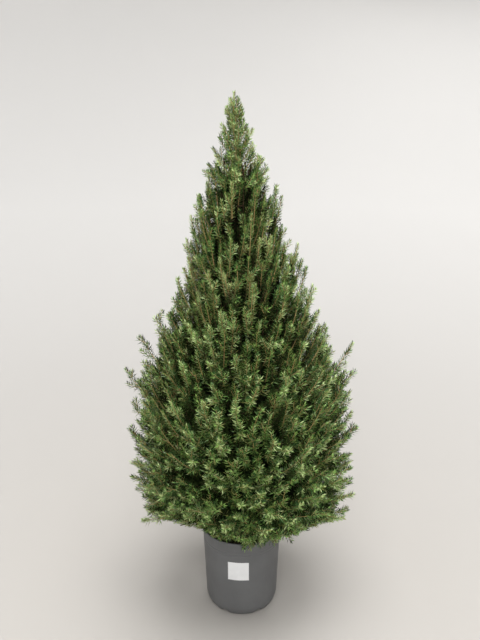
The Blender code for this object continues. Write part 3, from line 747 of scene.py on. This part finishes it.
class CrownSettings(PropertyGroup):
    """Sizes of the crown's finest growth."""

    needle_length: size_setting("Needle length", "Length of a full-grown needle", 0.0150)
    needle_width: size_setting("Needle width", "Width of a needle at its widest", 0.00240)
    needle_pitch: size_setting("Needle pitch", "Length of shoot for each needle", 0.00105)
    second_pitch: size_setting(
        "Second needle pitch", "Length of shoot for each needle behind the outer layer", 0.0017)
    inner_pitch: size_setting(
        "Inner needle pitch", "Length of shoot for each needle deep inside", 0.0020)
    inner_width: size_setting("Inner needle width", "Width of a needle deep inside", 0.0042)
    seed: IntProperty(name="Seed", description="Another number grows another plant", default=7, min=0)


class CrownColours(PropertyGroup):
    """Colours of the needles and twigs."""

    # Inside, shade and deep are the needles' own green darkened as painted shade, the inside one nearly
    # black
    inside: colour_setting("Inside", "Needles deep inside", 0.007, 0.011, 0.004)
    shade: colour_setting("Shade", "Needles behind the outer ones", 0.016, 0.028, 0.006)
    deep: colour_setting("Deep", "Darkest outer needles", 0.040, 0.088, 0.026)
    green: colour_setting("Green", "Most of the needles", 0.082, 0.165, 0.033)
    olive: colour_setting("Olive", "Duller, browner needles", 0.176, 0.192, 0.054)
    fresh: colour_setting("Fresh", "Fresh light needles", 0.206, 0.346, 0.082)
    # Tip: fresh growth, and also the lightest needles that stand in as painted glints
    tip: colour_setting("Tip", "Needles at the freshest tips", 0.47, 0.585, 0.25)
    twig: colour_setting("Twig", "This year's twigs", 0.45, 0.305, 0.130)
    # Branch: older twigs' brown, darkened further as painted shade inside the crown
    branch: colour_setting("Branch", "Older twigs", 0.056, 0.036, 0.021)
    bark: colour_setting("Bark", "Trunk and boughs", 0.115, 0.078, 0.050)


class PotSettings(PropertyGroup):
    """Sizes and colours of the pot, its sticker and what fills it."""

    hole_width: size_setting("Hole width", "Width of a drain hole", 0.0250)
    hole_height: size_setting("Hole height", "Height of a drain hole", 0.0175)
    groove_depth: size_setting("Groove depth", "Depth of the stacking lines under the rim", 0.0009)
    colour: colour_setting("Pot", "Pot plastic", 0.103, 0.105, 0.107)
    sticker_width: size_setting("Sticker width", "Width of the blank sticker", 0.0500)
    sticker_height: size_setting("Sticker height", "Height of the blank sticker", 0.0500)
    sticker_colour: colour_setting("Sticker", "Sticker paper", 0.700, 0.708, 0.715)
    soil_colour: colour_setting("Growing medium", "What fills the pot", 0.045, 0.030, 0.020)


class StudioSettings(PropertyGroup):
    """Floor, lights and camera."""

    floor_colour: colour_setting("Floor", "Floor round the pot", 0.43, 0.410, 0.385)
    backdrop_colour: colour_setting("Backdrop", "Backdrop far behind", 0.66, 0.65, 0.635)
    key_power: power_setting("Key light", "Power of the soft light from the front", 109.0)
    top_power: power_setting("Top light", "Power of the soft light from above", 232.0)
    back_power: power_setting("Back light", "Power of the weak light from behind", 38.0)
    sky: FloatProperty(
        name="Sky", description="Strength of the even light from all round", default=0.26, min=0.0)
    glow: FloatProperty(
        name="Backdrop glow", description="How much light the backdrop gives itself", default=0.06, min=0.0)
    lens: FloatProperty(
        name="Lens", description="Focal length on a 36 mm sensor, in millimetres", default=40.5)
    tilt: FloatProperty(
        name="Tilt", description="How far the camera looks down", default=math.radians(17.13),
        subtype="ANGLE")


def trunk_mesh():
    """The trunk, with ridges and furrows of bark."""
    heights = np.linspace(TRUNK_START, TRUNK_TOP, TRUNK_RINGS)
    angle = math.tau * np.arange(TRUNK_SIDES) / TRUNK_SIDES
    ridges = sum(
        depth * np.sin(number * angle + turn * heights[:, None] + start)
        for depth, number, turn, start in TRUNK_RIDGES)
    radius = trunk_radius(heights)[:, None] * (1.0 + ridges)
    corners = trunk_centre(heights)[:, None] + outward(angle)[None] * radius[..., None]
    return corners, halved(ring_walls(*radius.shape))


def bough_mesh(cells):
    """The boughs, each with a collar at the trunk and furrowed bark."""
    share = np.linspace(0.0, 1.0, BOUGH_RINGS)
    paths = np.stack([cell.bough(share * BOUGH_END_SHARE * cell.reach) for cell in cells])
    radii = np.stack([cell.thickness(share) for cell in cells])
    radii = radii * (1.0 + BOUGH_COLLAR * np.exp(-share / BOUGH_COLLAR_SHARE))
    corners, faces = limbs(paths, radii, BOUGH_SIDES)
    centre = np.repeat(paths.reshape(-1, 3), BOUGH_SIDES, axis=0)
    wave = np.sin(BOUGH_WAVES * corners + BOUGH_WAVE_STARTS).sum(axis=1)
    return centre + (corners - centre) * (1.0 + BOUGH_RELIEF * wave[:, None]), faces


def spaced_sites(cell, spacing, offset, chance):
    """Launch heights and azimuths of evenly spread shoots over the outer side of a cell."""
    edges = np.linspace(max(cell.low, LOWEST_LAUNCH), cell.high, SITE_ROWS + 1)
    ends = path_end(edges, cell.middle(edges), finest_bottom)
    rows = np.hypot(np.diff(ends), np.diff(edges + ends * path_slope(edges)))
    total = np.concatenate(((0.0,), np.cumsum(rows * cell.half_width * (ends[1:] + ends[:-1]))))
    count = max(1, round(total[-1] / (spacing * read(SPACING_SHARE, cell.launch)) ** 2))
    order = np.arange(count)
    share = (order + 0.5 + chance.uniform(-SITE_SHIFT, SITE_SHIFT, count)) / count
    launch = np.interp(share * total[-1], total, edges)
    aside = (order * GOLDEN + offset + chance.uniform(-SITE_SIDE_SHIFT, SITE_SIDE_SHIFT, count)) % 1.0
    return launch, cell.middle(launch) + cell.half_width * (2.0 * aside - 1.0)


def branchlets(cell, chance):
    """The stem that carries a cell's bough on, and the branchlets along it: paths and thicknesses."""
    start = BOUGH_END_SHARE * cell.reach if cell.has_bough else 0.0
    share = np.linspace(0.0, 1.0, LINE_POINTS)
    stem = cell.bough(mix(start, STEM_END_SHARE * cell.reach, share))
    spacing = math.sqrt(cell.half_width * cell.reach ** 2 / LATERALS)
    launch, azimuth = spaced_sites(cell, spacing, LATERAL_START, chance)
    reach = path_end(launch, azimuth, finest_bottom) * chance.uniform(*LATERAL_END, len(launch))
    ends = place(launch, azimuth, reach)
    roots = cell.bough(cell.reach * chance.uniform(*LATERAL_ROOTS, len(launch)))
    knees = 0.5 * (roots + ends) + chance.uniform(-LATERAL_SWAY, LATERAL_SWAY, roots.shape)
    paths = bend_point(roots[:, None], knees[:, None], ends[:, None], share[None])
    radii = np.tile(mix(*LATERAL_RADII, share), (len(ends), 1))
    stem_radii = mix(cell.thickness(1.0), LATERAL_RADII[1], share)
    return np.concatenate((stem[None], paths)), np.vstack((stem_radii, radii))


def shoot_headings(launch, azimuth, bend):
    """Headings of shoots at some bend back from their tips."""
    rise = np.degrees(np.arctan(path_slope(launch))) + read(TIP_LIFT, launch) - bend
    return spin(outward(azimuth), UP, np.radians(np.minimum(rise, STEEPEST)))


def leading_shoots(tips, launch, azimuth, length, chance):
    """Roots, middles and tips of shoots that swing up to their tips."""
    swung = azimuth + np.radians(chance.uniform(-SHOOT_SWING, SHOOT_SWING, len(tips)))
    leaning = chance.uniform(-SHOOT_LEAN, SHOOT_LEAN, len(tips))
    at_tip = shoot_headings(launch, swung, leaning)
    overall = shoot_headings(launch, swung, leaning + SHOOT_BEND)
    level = np.maximum(np.hypot(overall[:, 0], overall[:, 1]), LEAST_LEVEL)
    length = np.minimum(length, TRUNK_SIDE_SHARE * around_trunk(tips)[1] / level)[:, None]
    return tips - overall * length, tips - at_tip * (0.5 * length), tips


def within_crown(points, beyond):
    """Which points lie within the crown's reach, top and underside, or not too far beyond them."""
    azimuth, distance = around_trunk(points)
    height = points[:, 2]
    bottom = finest_bottom(azimuth, distance) + UNDERSIDE_CLEARANCE - beyond
    within = distance < read(CROWN_OUTLINE, height) + beyond
    return (height < CROWN_TOP - TIP_CLEARANCE) & (height > bottom) & within


def side_shoots(root, middle, tip, number, beyond, chance):
    """Side shoots of leading shoots: roots, middles, tips and which shoot each one grows on.

    Shoots that stand out of the crown are told by how far beyond its outline theirs may reach."""
    made = []
    count = len(root)
    turn = chance.uniform(0.0, math.tau, count)
    for order in range(number):
        shift = chance.uniform(-SIDE_SHOOT_SHIFT, SIDE_SHOOT_SHIFT, count)
        share = SIDE_SHOOT_SHARES[order - number] + shift
        start = bend_point(root, middle, tip, share)
        heading = bend_heading(root, middle, tip, share)
        aside = spin(*square_to(heading), turn + order * GOLDEN_ANGLE)
        spread = np.radians(chance.uniform(*SIDE_SHOOT_ANGLE, count))
        length = chance.uniform(*SIDE_SHOOT_LENGTH, count) * mix(*SIDE_SHOOT_SHORTENING, share)
        way = spin(heading, aside, spread)
        knee = start + unit(way + SIDE_SHOOT_CURVE * aside) * 0.5 * length[:, None]
        end = start + unit(way + SIDE_SHOOT_RISE * UP) * length[:, None]
        grown = chance.random(count) < read(SIDE_SHOOTS_GROWN, tip[:, 2])
        kept = np.flatnonzero(within_crown(end, beyond) & grown)
        made.append((start[kept], knee[kept], end[kept], kept))
    return [np.concatenate(column) for column in zip(*made)]


def leader_shoots(chance):
    """Shoots round the crown's tip, up a stem that carries on from the trunk."""
    order = np.arange(LEADER_SHOOTS)
    share = ((order + 0.5) / LEADER_SHOOTS) ** LEADER_GATHERING
    heights = mix(*LEADER_HEIGHTS, share)
    azimuth = order * GOLDEN_ANGLE + chance.uniform(-LEADER_SHIFT, LEADER_SHIFT, LEADER_SHOOTS)
    distance = read(CROWN_OUTLINE, heights) * chance.uniform(*LEADER_DEPTH, LEADER_SHOOTS)
    length = mix(*LEADER_SHOOT_LENGTH, share)
    long_shoot = (math.radians(LEADER_LONG_SHOOT[0]), *LEADER_LONG_SHOOT[1:])
    azimuth, heights, distance, length = np.column_stack(
        ((azimuth, heights, distance, length), long_shoot))
    tips = trunk_centre(heights) + outward(azimuth) * distance[:, None]
    roots = trunk_centre(np.maximum(heights - length, LEADER_STEM_START))
    middles = mix(roots, tips, LEADER_MIDDLE) + outward(azimuth) * (LEADER_BULGE * distance)[:, None]
    foot, top = trunk_centre(LEADER_STEM_START), trunk_centre(CROWN_TOP - TIP_CLEARANCE)
    return np.vstack((foot, roots)), np.vstack((0.5 * (foot + top), middles)), np.vstack((top, tips))


class Growth:
    """The whole crown's shoots, gathered before their needles and twigs are made."""

    def __init__(self, seed):
        self.chance = np.random.default_rng(seed)
        self.cells = all_cells()
        made = [branchlets(cell, self.chance) for cell in self.cells]
        self.branch_paths, self.branch_radii = (np.concatenate(column) for column in zip(*made))
        self.holds = np.vstack((self.branch_paths[:, 1:].reshape(-1, 3), trunk_centre(TRUNK_HOLDS)))
        self.stalk_paths, self.stalk_radii = [], []
        self.layers = {layer[0]: self.grow_layer(number, *layer[1:]) for number, layer in enumerate(LAYERS)}
        self.add_leader()

    def grow_layer(self, number, spacing, depths, lengths, side_number):
        """The shoots of one layer over the whole crown: root, middle, tip, girth, tone and hang."""
        chance = self.chance
        offset = LAYER_STEP * number + LAYER_START
        found = [spaced_sites(cell, spacing, offset, chance) for cell in self.cells]
        launch, azimuth = (np.concatenate(column) for column in zip(*found))
        ends = path_end(launch, azimuth, finest_bottom)
        launch, azimuth, ends = (values[ends > SHORTEST_PATH] for values in (launch, azimuth, ends))
        height = launch + ends * path_slope(launch)
        short = read(LEFT_SHORT, height) * np.maximum(0.0, -np.cos(azimuth))
        deeper = read(RAGGED, height) * chance.random(len(launch)) ** 2
        depth = chance.uniform(*depths, len(launch)) - deeper
        tips = place(launch, azimuth, ends * (1.0 - short) * depth)
        if number == 0:
            degrees, height, distance = np.transpose(LONG_SHOOTS + RIM_SHOOTS)
            reach = (distance - NEEDLES_PAST_TIP)[:, None]
            far = trunk_centre(height) + outward(np.radians(degrees)) * reach
            far_launch, far_azimuth = measure(far)
            tips = np.concatenate((tips, far))
            launch = np.concatenate((launch, far_launch))
            azimuth = np.concatenate((azimuth, far_azimuth))
        length = chance.uniform(*lengths, len(tips)) * read(LENGTH_SHARE, tips[:, 2])
        stands_out = np.arange(len(tips)) >= len(ends)
        root, middle, tips = leading_shoots(tips, launch, azimuth, length, chance)
        self.connect(root, middle)
        beyond = np.where(stands_out, LONG_SIDE_SHOOTS, 0.0)
        hang = np.where(stands_out, LONG_HANG, NEEDLE_HANG)
        return self.with_side_shoots(root, middle, tips, side_number, beyond, hang, number)

    def with_side_shoots(self, root, middle, tips, side_number, beyond, hang, number):
        """Leading shoots together with their side shoots, most of them in the same tone."""
        chance = self.chance
        shares = TONE_SHARES[min(number, 1)]
        tone = chance.choice(len(TONES), size=len(root), p=shares)
        start, knee, end, owner = side_shoots(root, middle, tips, side_number, beyond, chance)
        own = chance.choice(len(TONES), size=len(start), p=shares)
        side_tone = np.where(chance.random(len(start)) < OWN_TONE, own, tone[owner])
        girth = (np.ones(len(root)), np.full(len(start), SIDE_TWIG_SHARE))
        pairs = ((root, start), (middle, knee), (tips, end), girth, (tone, side_tone), (hang, hang[owner]))
        return tuple(np.concatenate(pair) for pair in pairs)

    def connect(self, root, middle):
        """Lead a twig from the nearest branchlet to the root of each shoot."""
        away = np.linalg.norm(self.holds[None] - root[:, None], axis=-1)
        hold = self.holds[np.argmin(away, axis=1)]
        back = unit(middle - root) * (STALK_BEND * away.min(axis=1))[:, None]
        share = np.linspace(0.0, 1.0, STALK_POINTS)
        paths = bend_point(hold[:, None], (root - back)[:, None], root[:, None], share[None])
        self.stalk_paths.append(paths)
        radii = mix(LATERAL_RADII[1], TWIG_RADII[0], share)
        self.stalk_radii.append(np.broadcast_to(radii, paths.shape[:2]))

    def add_leader(self):
        """Put the leader's shoots with the outer ones."""
        shoots = leader_shoots(self.chance)
        hang = np.zeros(len(shoots[0]))
        made = self.with_side_shoots(*shoots, LEADER_SIDE_SHOOTS, 0.0, hang, 0)
        self.layers["outer"] = tuple(np.concatenate(pair) for pair in zip(self.layers["outer"], made))


def clear_of_pot(points):
    """Which points lie outside the pot, or above its rim."""
    below = points[:, 2] < POT_HEIGHT + POT_CLEARANCE
    return ~(below & (np.hypot(points[:, 0], points[:, 1]) < POT_RIM_RADIUS + POT_CLEARANCE))


def above_underside(points, hang):
    """Which points lie above the lowest that needles hang."""
    return points[:, 2] > finest_bottom(*around_trunk(points)) - hang


def needle_mesh(shoots, pitch, size, chance, blades):
    """Corners (needle, corner, 3), the faces of one needle, and the tone of each needle."""
    root, middle, tip, _, tone, hang = shoots
    count = np.maximum(FEWEST_NEEDLES, np.round(np.linalg.norm(tip - root, axis=1) / pitch)).astype(int)
    owner = np.repeat(np.arange(len(root)), count)
    many = len(owner)
    order = np.arange(many) - np.repeat(np.cumsum(count) - count, count)
    along = 1.0 - (1.0 - (order + chance.uniform(*NEEDLE_SHIFT, many)) / count[owner]) ** CROWDING
    base = bend_point(root[owner], middle[owner], tip[owner], along)
    heading = bend_heading(root[owner], middle[owner], tip[owner], along)
    one, two = square_to(heading)
    shift = chance.uniform(-NEEDLE_TURN_SHIFT, NEEDLE_TURN_SHIFT, many)
    out = spin(one, two, order * GOLDEN_ANGLE + owner * NEEDLE_TURN + shift)
    lean = mix(*NEEDLE_ANGLE, along ** NEEDLE_TURNING)
    lean = np.radians(lean + chance.uniform(-NEEDLE_ANGLE_SHIFT, NEEDLE_ANGLE_SHIFT, many))
    way = unit(spin(heading, out, lean) + NEEDLE_RISE * UP)
    share = read(NEEDLE_SHARE, tip[:, 2])[owner]
    length = size[0] * share * read(NEEDLE_TAPER, along) * chance.uniform(*NEEDLE_LENGTHS, many)
    end = base + way * length[:, None]
    side = unit(np.cross(way, unit(heading + NEEDLE_TWIST * one)))
    half = side * (0.5 * size[1] * chance.uniform(*NEEDLE_WIDTHS, many))[:, None]
    tone = tone[owner]
    if blades:
        corners = np.stack((base - half, base + half, end), axis=1)
        faces = np.array(((0, 1, 2),))
    else:
        fold = np.cross(side, way) * (NEEDLE_FOLD * size[1])
        belly = base + way * (NEEDLE_WIDEST * length)[:, None] - fold
        corners = np.stack((base, belly - half, end, belly + half), axis=1)
        faces = np.array(((0, 1, 2), (0, 2, 3)))
        # Shoot ends drawn lighter as fresh growth and painted highlight; higher needles lighter as painted
        # light from above
        drawn = chance.random(many) + np.where(along > END_START, END_FRESH_AND_HIGHLIGHT, 0.0)
        drawn += read(HIGH_PAINTED_LIGHT, base[:, 2])
        step = np.digitize(drawn, TONE_STEPS) - 2
        # Needles on the shoot's side to the trunk are stepped darker: painted shade, partly older needles
        trunk_side_shaded = np.sum(out * unit(base - trunk_centre(base[:, 2])), axis=1) < BACK_NEEDLES
        step = np.where(trunk_side_shaded, np.where(base[:, 2] < BACK_DARK_UP_TO, -2, -1), step)
        tone = np.clip(tone + step * (tone > 0), 0, len(TONES) - 1)
    kept = clear_of_pot(end) & clear_of_pot(base) & above_underside(end, hang[owner])
    kept &= end[:, 2] < CROWN_TOP + NEEDLE_TOP
    return corners[kept], faces, tone[kept]


def twig_mesh(shoots, some, rings):
    """The wood of some shoots."""
    root, middle, tip, girth = (column[some] for column in shoots[:4])
    share = np.linspace(0.0, 1.0, rings)
    paths = bend_point(root[:, None], middle[:, None], tip[:, None], share[None])
    return limbs(paths, mix(*TWIG_RADII, share)[None] * girth[:, None], TWIG_SIDES)


def pot_wall(height):
    """Radius of the pot's tapered wall at some heights."""
    return mix(POT_BASE_RADIUS, POT_RIM_RADIUS - POT_LIP_WIDTH, height / POT_HEIGHT)


def pot_profile(groove_depth):
    """Radius and height round the pot's section, from the underside's middle to the inside's."""
    flat = pot_wall(POT_FOOT_HEIGHT) - POT_FOOT_ROUND
    angle = np.radians(np.arange(0.0, 91.0, 3.0))
    foot = (flat + POT_FOOT_ROUND * np.sin(angle), POT_FOOT_HEIGHT * (1.0 - np.cos(angle)))
    lip_foot = POT_HEIGHT - POT_LIP_HEIGHT
    ends = (POT_FOOT_HEIGHT, GROOVES[0] - GROOVE_MARGIN, GROOVES[1] + GROOVE_MARGIN, lip_foot)
    height = np.concatenate([
        np.linspace(low, high, count)[1:] for low, high, count in zip(ends, ends[1:], POT_WALL_RINGS)])
    dip = np.exp(-((height[:, None] - GROOVES) / GROOVE_WIDTH) ** 2).max(axis=1)
    wall = (pot_wall(height) - groove_depth * dip, height)
    lip = [(POT_RIM_RADIUS - inset, lip_foot + rise) for inset, rise in POT_LIP_CORNERS]
    lip.append((POT_RIM_RADIUS, POT_HEIGHT - POT_LIP_ROUND))
    angle = np.radians(np.arange(30.0, 181.0, 30.0))
    top = (
        POT_RIM_RADIUS - POT_LIP_WIDTH * (1.0 - np.cos(angle)),
        POT_HEIGHT - POT_LIP_ROUND * (1.0 - np.sin(angle)))
    floor = SOIL_TOP - POT_INSIDE_DEPTH
    inside = (
        (pot_wall(POT_HEIGHT) - POT_WALL, POT_HEIGHT - POT_LIP_INSIDE),
        (pot_wall(floor) - POT_WALL, floor), (0.0, floor))
    underside = [(share * flat, 0.0) for share in POT_UNDERSIDE]
    return np.vstack((underside, np.transpose(foot), np.transpose(wall), lip, np.transpose(top), inside))


def drain_notches(corners, width, height):
    """How deep each point of the pot lies in the arched drain notches of its foot, from 0 to 1."""
    radius = np.hypot(corners[..., 0], corners[..., 1])
    around = np.arctan2(corners[..., 1], corners[..., 0])
    around = (around + 0.5 * HOLE_SPAN) % HOLE_SPAN - 0.5 * HOLE_SPAN
    across = 2.0 * around * radius / width
    depth = (1.0 - across ** 2 - (corners[..., 2] / height) ** 2) / HOLE_EDGE
    foot = (corners[..., 2] > HOLE_FOOT) & (radius > 0.5 * POT_BASE_RADIUS)
    return np.clip(depth, 0.0, 1.0) * foot


def soil_height(radius, edge):
    """Height of the growing medium's surface, which sinks a little towards the pot."""
    return np.interp(radius, (SOIL_FLAT_RADIUS, edge), (SOIL_TOP, SOIL_TOP - SOIL_MOUND))


def crumb_mesh(chance, edge):
    """Loose crumbs and bits of bark on the surface."""
    spread = np.sqrt(chance.random(CRUMBS)) * edge
    centre = outward(chance.uniform(0.0, math.tau, CRUMBS)) * spread[:, None]
    centre[:, 2] = soil_height(spread, edge) + CRUMB_RISE
    each = len(CRUMB_SHAPE)
    size = chance.uniform(*CRUMB_SIZE, (CRUMBS, 1, 1))
    stretch = chance.uniform(*CRUMB_STRETCH, (CRUMBS, each, 1))
    corners = centre[:, None] + CRUMB_SHAPE[None] * (size * stretch)
    return corners.reshape(-1, 3), copied(CRUMB_FACES, CRUMBS, each)


class SPRUCE_OT_limbs(Operator):
    """Make the trunk and the main boughs, with the relief of their bark"""

    bl_idname = "spruce.limbs"
    bl_label = "Trunk and boughs"

    def execute(self, context):
        look = bark_look(tuple(context.scene.spruce_colours.bark))
        trunk = make_piece("bark_trunk", *trunk_mesh(), look, "bark", smooth=True)
        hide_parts("trunk")
        cells = [cell for cell in all_cells() if cell.has_bough]
        boughs = make_piece("bark_boughs", *bough_mesh(cells), look, "bark", smooth=True)
        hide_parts(*BOUGHS)
        return {"FINISHED"}


class SPRUCE_OT_foliage(Operator):
    """Grow the branchlets, twigs and needles of every mass"""

    bl_idname = "spruce.foliage"
    bl_label = "Twigs and needles"

    def execute(self, context):
        settings = context.scene.spruce_crown
        colours = context.scene.spruce_colours
        growth = Growth(settings.seed)
        size = (settings.needle_length, settings.needle_width)
        pitches = {"outer": settings.needle_pitch, "second": settings.second_pitch}
        corners, faces, tone = self.make_needles(growth, pitches, size, False)
        for index, name in enumerate(TONES):
            some = corners[tone == index]
            if len(some):
                surface = DULL if name in DARK_TONES else SHINY
                look = plain_look("needles_" + name, tuple(getattr(colours, name)), *surface)
                spread_pieces("needles_" + name, some, faces, look)
        size = (INNER_LENGTH * settings.needle_length, settings.inner_width)
        pitches = {"inner": settings.inner_pitch, "heart": settings.inner_pitch}
        corners, faces, _ = self.make_needles(growth, pitches, size, True)
        look = plain_look("needles_inside", tuple(colours.inside), *INSIDE_SURFACE)
        spread_pieces("needles_inside", corners, faces, look)
        self.make_wood(growth, colours)
        return {"FINISHED"}

    def make_needles(self, growth, pitches, size, blades):
        """The needles of some layers: corners, the faces of one, and tones."""
        corners, faces, tones = zip(*(
            needle_mesh(growth.layers[name], pitch, size, growth.chance, blades)
            for name, pitch in pitches.items()))
        return np.concatenate(corners), faces[0], np.concatenate(tones)

    def make_wood(self, growth, colours):
        """The twigs of this year's shoots, and the darker branchlets they stand on: older brown wood
        darkened as painted shade.
        """
        fresh = plain_look("twig_bark", tuple(colours.twig), *TWIG_SURFACE)
        older = plain_look("branchlet_bark", tuple(colours.branch), *BRANCHLET_SURFACE)
        twigs, inside = [], [
            limbs(growth.branch_paths, growth.branch_radii, BRANCHLET_SIDES),
            limbs(np.concatenate(growth.stalk_paths), np.concatenate(growth.stalk_radii), TWIG_SIDES)]
        for name, shoots in growth.layers.items():
            group = twigs if name == "outer" else inside
            leading = shoots[3] == 1.0
            for some, rings in zip((leading, ~leading), TWIG_RINGS[name]):
                if rings:
                    group.append(twig_mesh(shoots, some, rings))
        for name, meshes, look in (("twigs", twigs, fresh), ("branchlets", inside, older)):
            piece = make_piece(name, *join(meshes), look, "bark", smooth=True)
            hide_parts(*MASSES)


class SPRUCE_OT_pot(Operator):
    """Mould the pot, with its lip, stacking lines and drain notches"""

    bl_idname = "spruce.pot"
    bl_label = "Pot"

    def execute(self, context):
        settings = context.scene.spruce_pot
        corners, faces = turned(pot_profile(settings.groove_depth), POT_SEGMENTS)
        holes = drain_notches(corners, settings.hole_width, settings.hole_height)
        corners[..., :2] -= unit(corners[..., :2]) * HOLE_DEPTH * holes[..., None]
        look = plastic_look(tuple(settings.colour))
        pot = make_piece("nursery_pot", corners, faces, look, "pot_plastic", smooth=True)
        # The notches' deepest faces get the growing medium's look, darkened as painted shade
        pot.data.materials.append(soil_look(shaded(tuple(settings.soil_colour), HOLE_SHADE)))
        notch_shade_faces = (holes.ravel()[faces] > HOLE_DARK).all(axis=1)
        pot.data.polygons.foreach_set("material_index", notch_shade_faces.astype(np.int32))
        pot.data.set_sharp_from_angle(angle=SHARP_ANGLE)
        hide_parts("pot")
        return {"FINISHED"}


class SPRUCE_OT_sticker(Operator):
    """Lay the blank sticker round the front of the pot"""

    bl_idname = "spruce.sticker"
    bl_label = "Blank sticker"

    def execute(self, context):
        settings = context.scene.spruce_pot
        up, across = np.meshgrid(*(np.linspace(-0.5, 0.5, count) for count in STICKER_GRID), indexing="ij")
        height = STICKER_HEIGHT + up * settings.sticker_height
        wall = pot_wall(height)
        corner = (4.0 * np.abs(up * across)) ** STICKER_CORNER_POWER
        radius = wall + STICKER_LIFT + STICKER_CORNER_LIFT * corner
        corners = outward(STICKER_AZIMUTH + across * settings.sticker_width / wall) * radius[..., None]
        corners[..., 2] = height
        here = np.arange(up.size).reshape(up.shape)
        faces = walls(here[:, :-1], here[:, 1:])
        look = paper_look(tuple(settings.sticker_colour))
        make_piece("blank_sticker", corners, faces, look, "pot_plastic", smooth=True)
        return {"FINISHED"}


class SPRUCE_OT_soil(Operator):
    """Fill the pot with crumbly growing medium"""

    bl_idname = "spruce.soil"
    bl_label = "Growing medium"

    def execute(self, context):
        chance = np.random.default_rng(SOIL_SEED)
        edge = pot_wall(SOIL_EDGE_SHARE * POT_HEIGHT) - POT_WALL - SOIL_GAP
        radius = np.linspace(0.0, edge, SOIL_RINGS)
        profile = np.stack((radius, soil_height(radius, edge)), axis=1)
        corners, faces = turned(profile, SOIL_SEGMENTS)
        rough = chance.uniform(-SOIL_ROUGHNESS, SOIL_ROUGHNESS, corners.shape[:2])
        rough[0] = rough[0].mean()
        corners[..., 2] += rough
        mesh = join(((corners.reshape(-1, 3), halved(faces)), crumb_mesh(chance, edge - CRUMB_MARGIN)))
        look = soil_look(tuple(context.scene.spruce_pot.soil_colour))
        soil = make_piece("growing_medium", *mesh, look, "substrate", smooth=True)
        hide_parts("substrate")
        return {"FINISHED"}


class SPRUCE_OT_studio(Operator):
    """Set the pale floor, the soft lights and the camera"""

    bl_idname = "spruce.studio"
    bl_label = "Studio"

    def execute(self, context):
        settings = context.scene.spruce_studio
        self.make_floor(settings)
        self.make_lights(context, settings)
        camera = bpy.data.cameras.new("camera")
        camera.lens = settings.lens
        camera.sensor_width = SENSOR_WIDTH
        made = self.set_up(context, camera, CAMERA_PLACE)
        made.rotation_euler = (math.pi / 2.0 - settings.tilt, 0.0, 0.0)
        context.scene.camera = made
        context.scene.view_settings.view_transform = "Standard"
        return {"FINISHED"}

    def set_up(self, context, data, spot):
        """A lamp or a camera, standing in the scene."""
        made = bpy.data.objects.new(data.name, data)
        made.location = spot
        context.scene.collection.objects.link(made)
        return made

    def make_floor(self, settings):
        """A floor that curves up into a backdrop all round."""
        angle = np.radians(np.arange(3.0, 91.0, 3.0))
        start = FLOOR_RINGS[-1][0]
        curve = np.stack((start + FLOOR_CURVE * np.sin(angle), FLOOR_CURVE * (1.0 - np.cos(angle))), axis=1)
        profile = np.vstack((FLOOR_RINGS, curve, (start + FLOOR_CURVE, BACKDROP_HEIGHT)))
        look = floor_look(tuple(settings.floor_colour), tuple(settings.backdrop_colour), settings.glow)
        floor = make_piece("studio_floor", *turned(profile, FLOOR_SEGMENTS), look, None, smooth=True)

    def make_lights(self, context, settings):
        """A wide soft light overhead, a soft one in front, a weak one behind and an even sky."""
        for name, size, spot, aim in LAMPS:
            lamp = bpy.data.lights.new(name + "_light", "AREA")
            lamp.energy = getattr(settings, name + "_power")
            lamp.size = size
            way = Vector(aim) - Vector(spot)
            self.set_up(context, lamp, spot).rotation_euler = way.to_track_quat("-Z", "Y").to_euler()
        world = bpy.data.worlds.new("sky")
        world.use_nodes = True
        background = world.node_tree.nodes["Background"]
        background.inputs["Color"].default_value = SKY_COLOUR
        background.inputs["Strength"].default_value = settings.sky
        context.scene.world = world


SETTINGS = {
    "spruce_crown": CrownSettings,
    "spruce_colours": CrownColours,
    "spruce_pot": PotSettings,
    "spruce_studio": StudioSettings,
}
OPERATORS = (
    SPRUCE_OT_limbs, SPRUCE_OT_foliage, SPRUCE_OT_pot, SPRUCE_OT_sticker, SPRUCE_OT_soil,
    SPRUCE_OT_studio)


class SPRUCE_PT_panel(Panel):
    """Sizes, colours and steps of the potted spruce"""

    bl_idname = "SPRUCE_PT_panel"
    bl_label = "Potted dwarf spruce"
    bl_space_type = "VIEW_3D"
    bl_region_type = "UI"
    bl_category = "Spruce"

    def draw(self, context):
        for group in SETTINGS:
            settings = getattr(context.scene, group)
            box = self.layout.box()
            for name in settings.__annotations__:
                box.prop(settings, name)
        for operator in OPERATORS:
            self.layout.operator(operator.bl_idname)


def register():
    """Register the settings, operators and panel."""
    for name, group in SETTINGS.items():
        bpy.utils.register_class(group)
        setattr(bpy.types.Scene, name, PointerProperty(type=group))
    for kind in (*OPERATORS, SPRUCE_PT_panel):
        bpy.utils.register_class(kind)


def unregister():
    """Take them out again."""
    for kind in (SPRUCE_PT_panel, *reversed(OPERATORS)):
        bpy.utils.unregister_class(kind)
    for name, group in SETTINGS.items():
        delattr(bpy.types.Scene, name)
        bpy.utils.unregister_class(group)


def main():
    """Build every piece in order."""
    register()
    bpy.ops.spruce.studio()
    bpy.ops.spruce.limbs()
    bpy.ops.spruce.foliage()
    bpy.ops.spruce.pot()
    bpy.ops.spruce.sticker()
    bpy.ops.spruce.soil()


if __name__ == "__main__":
    main()
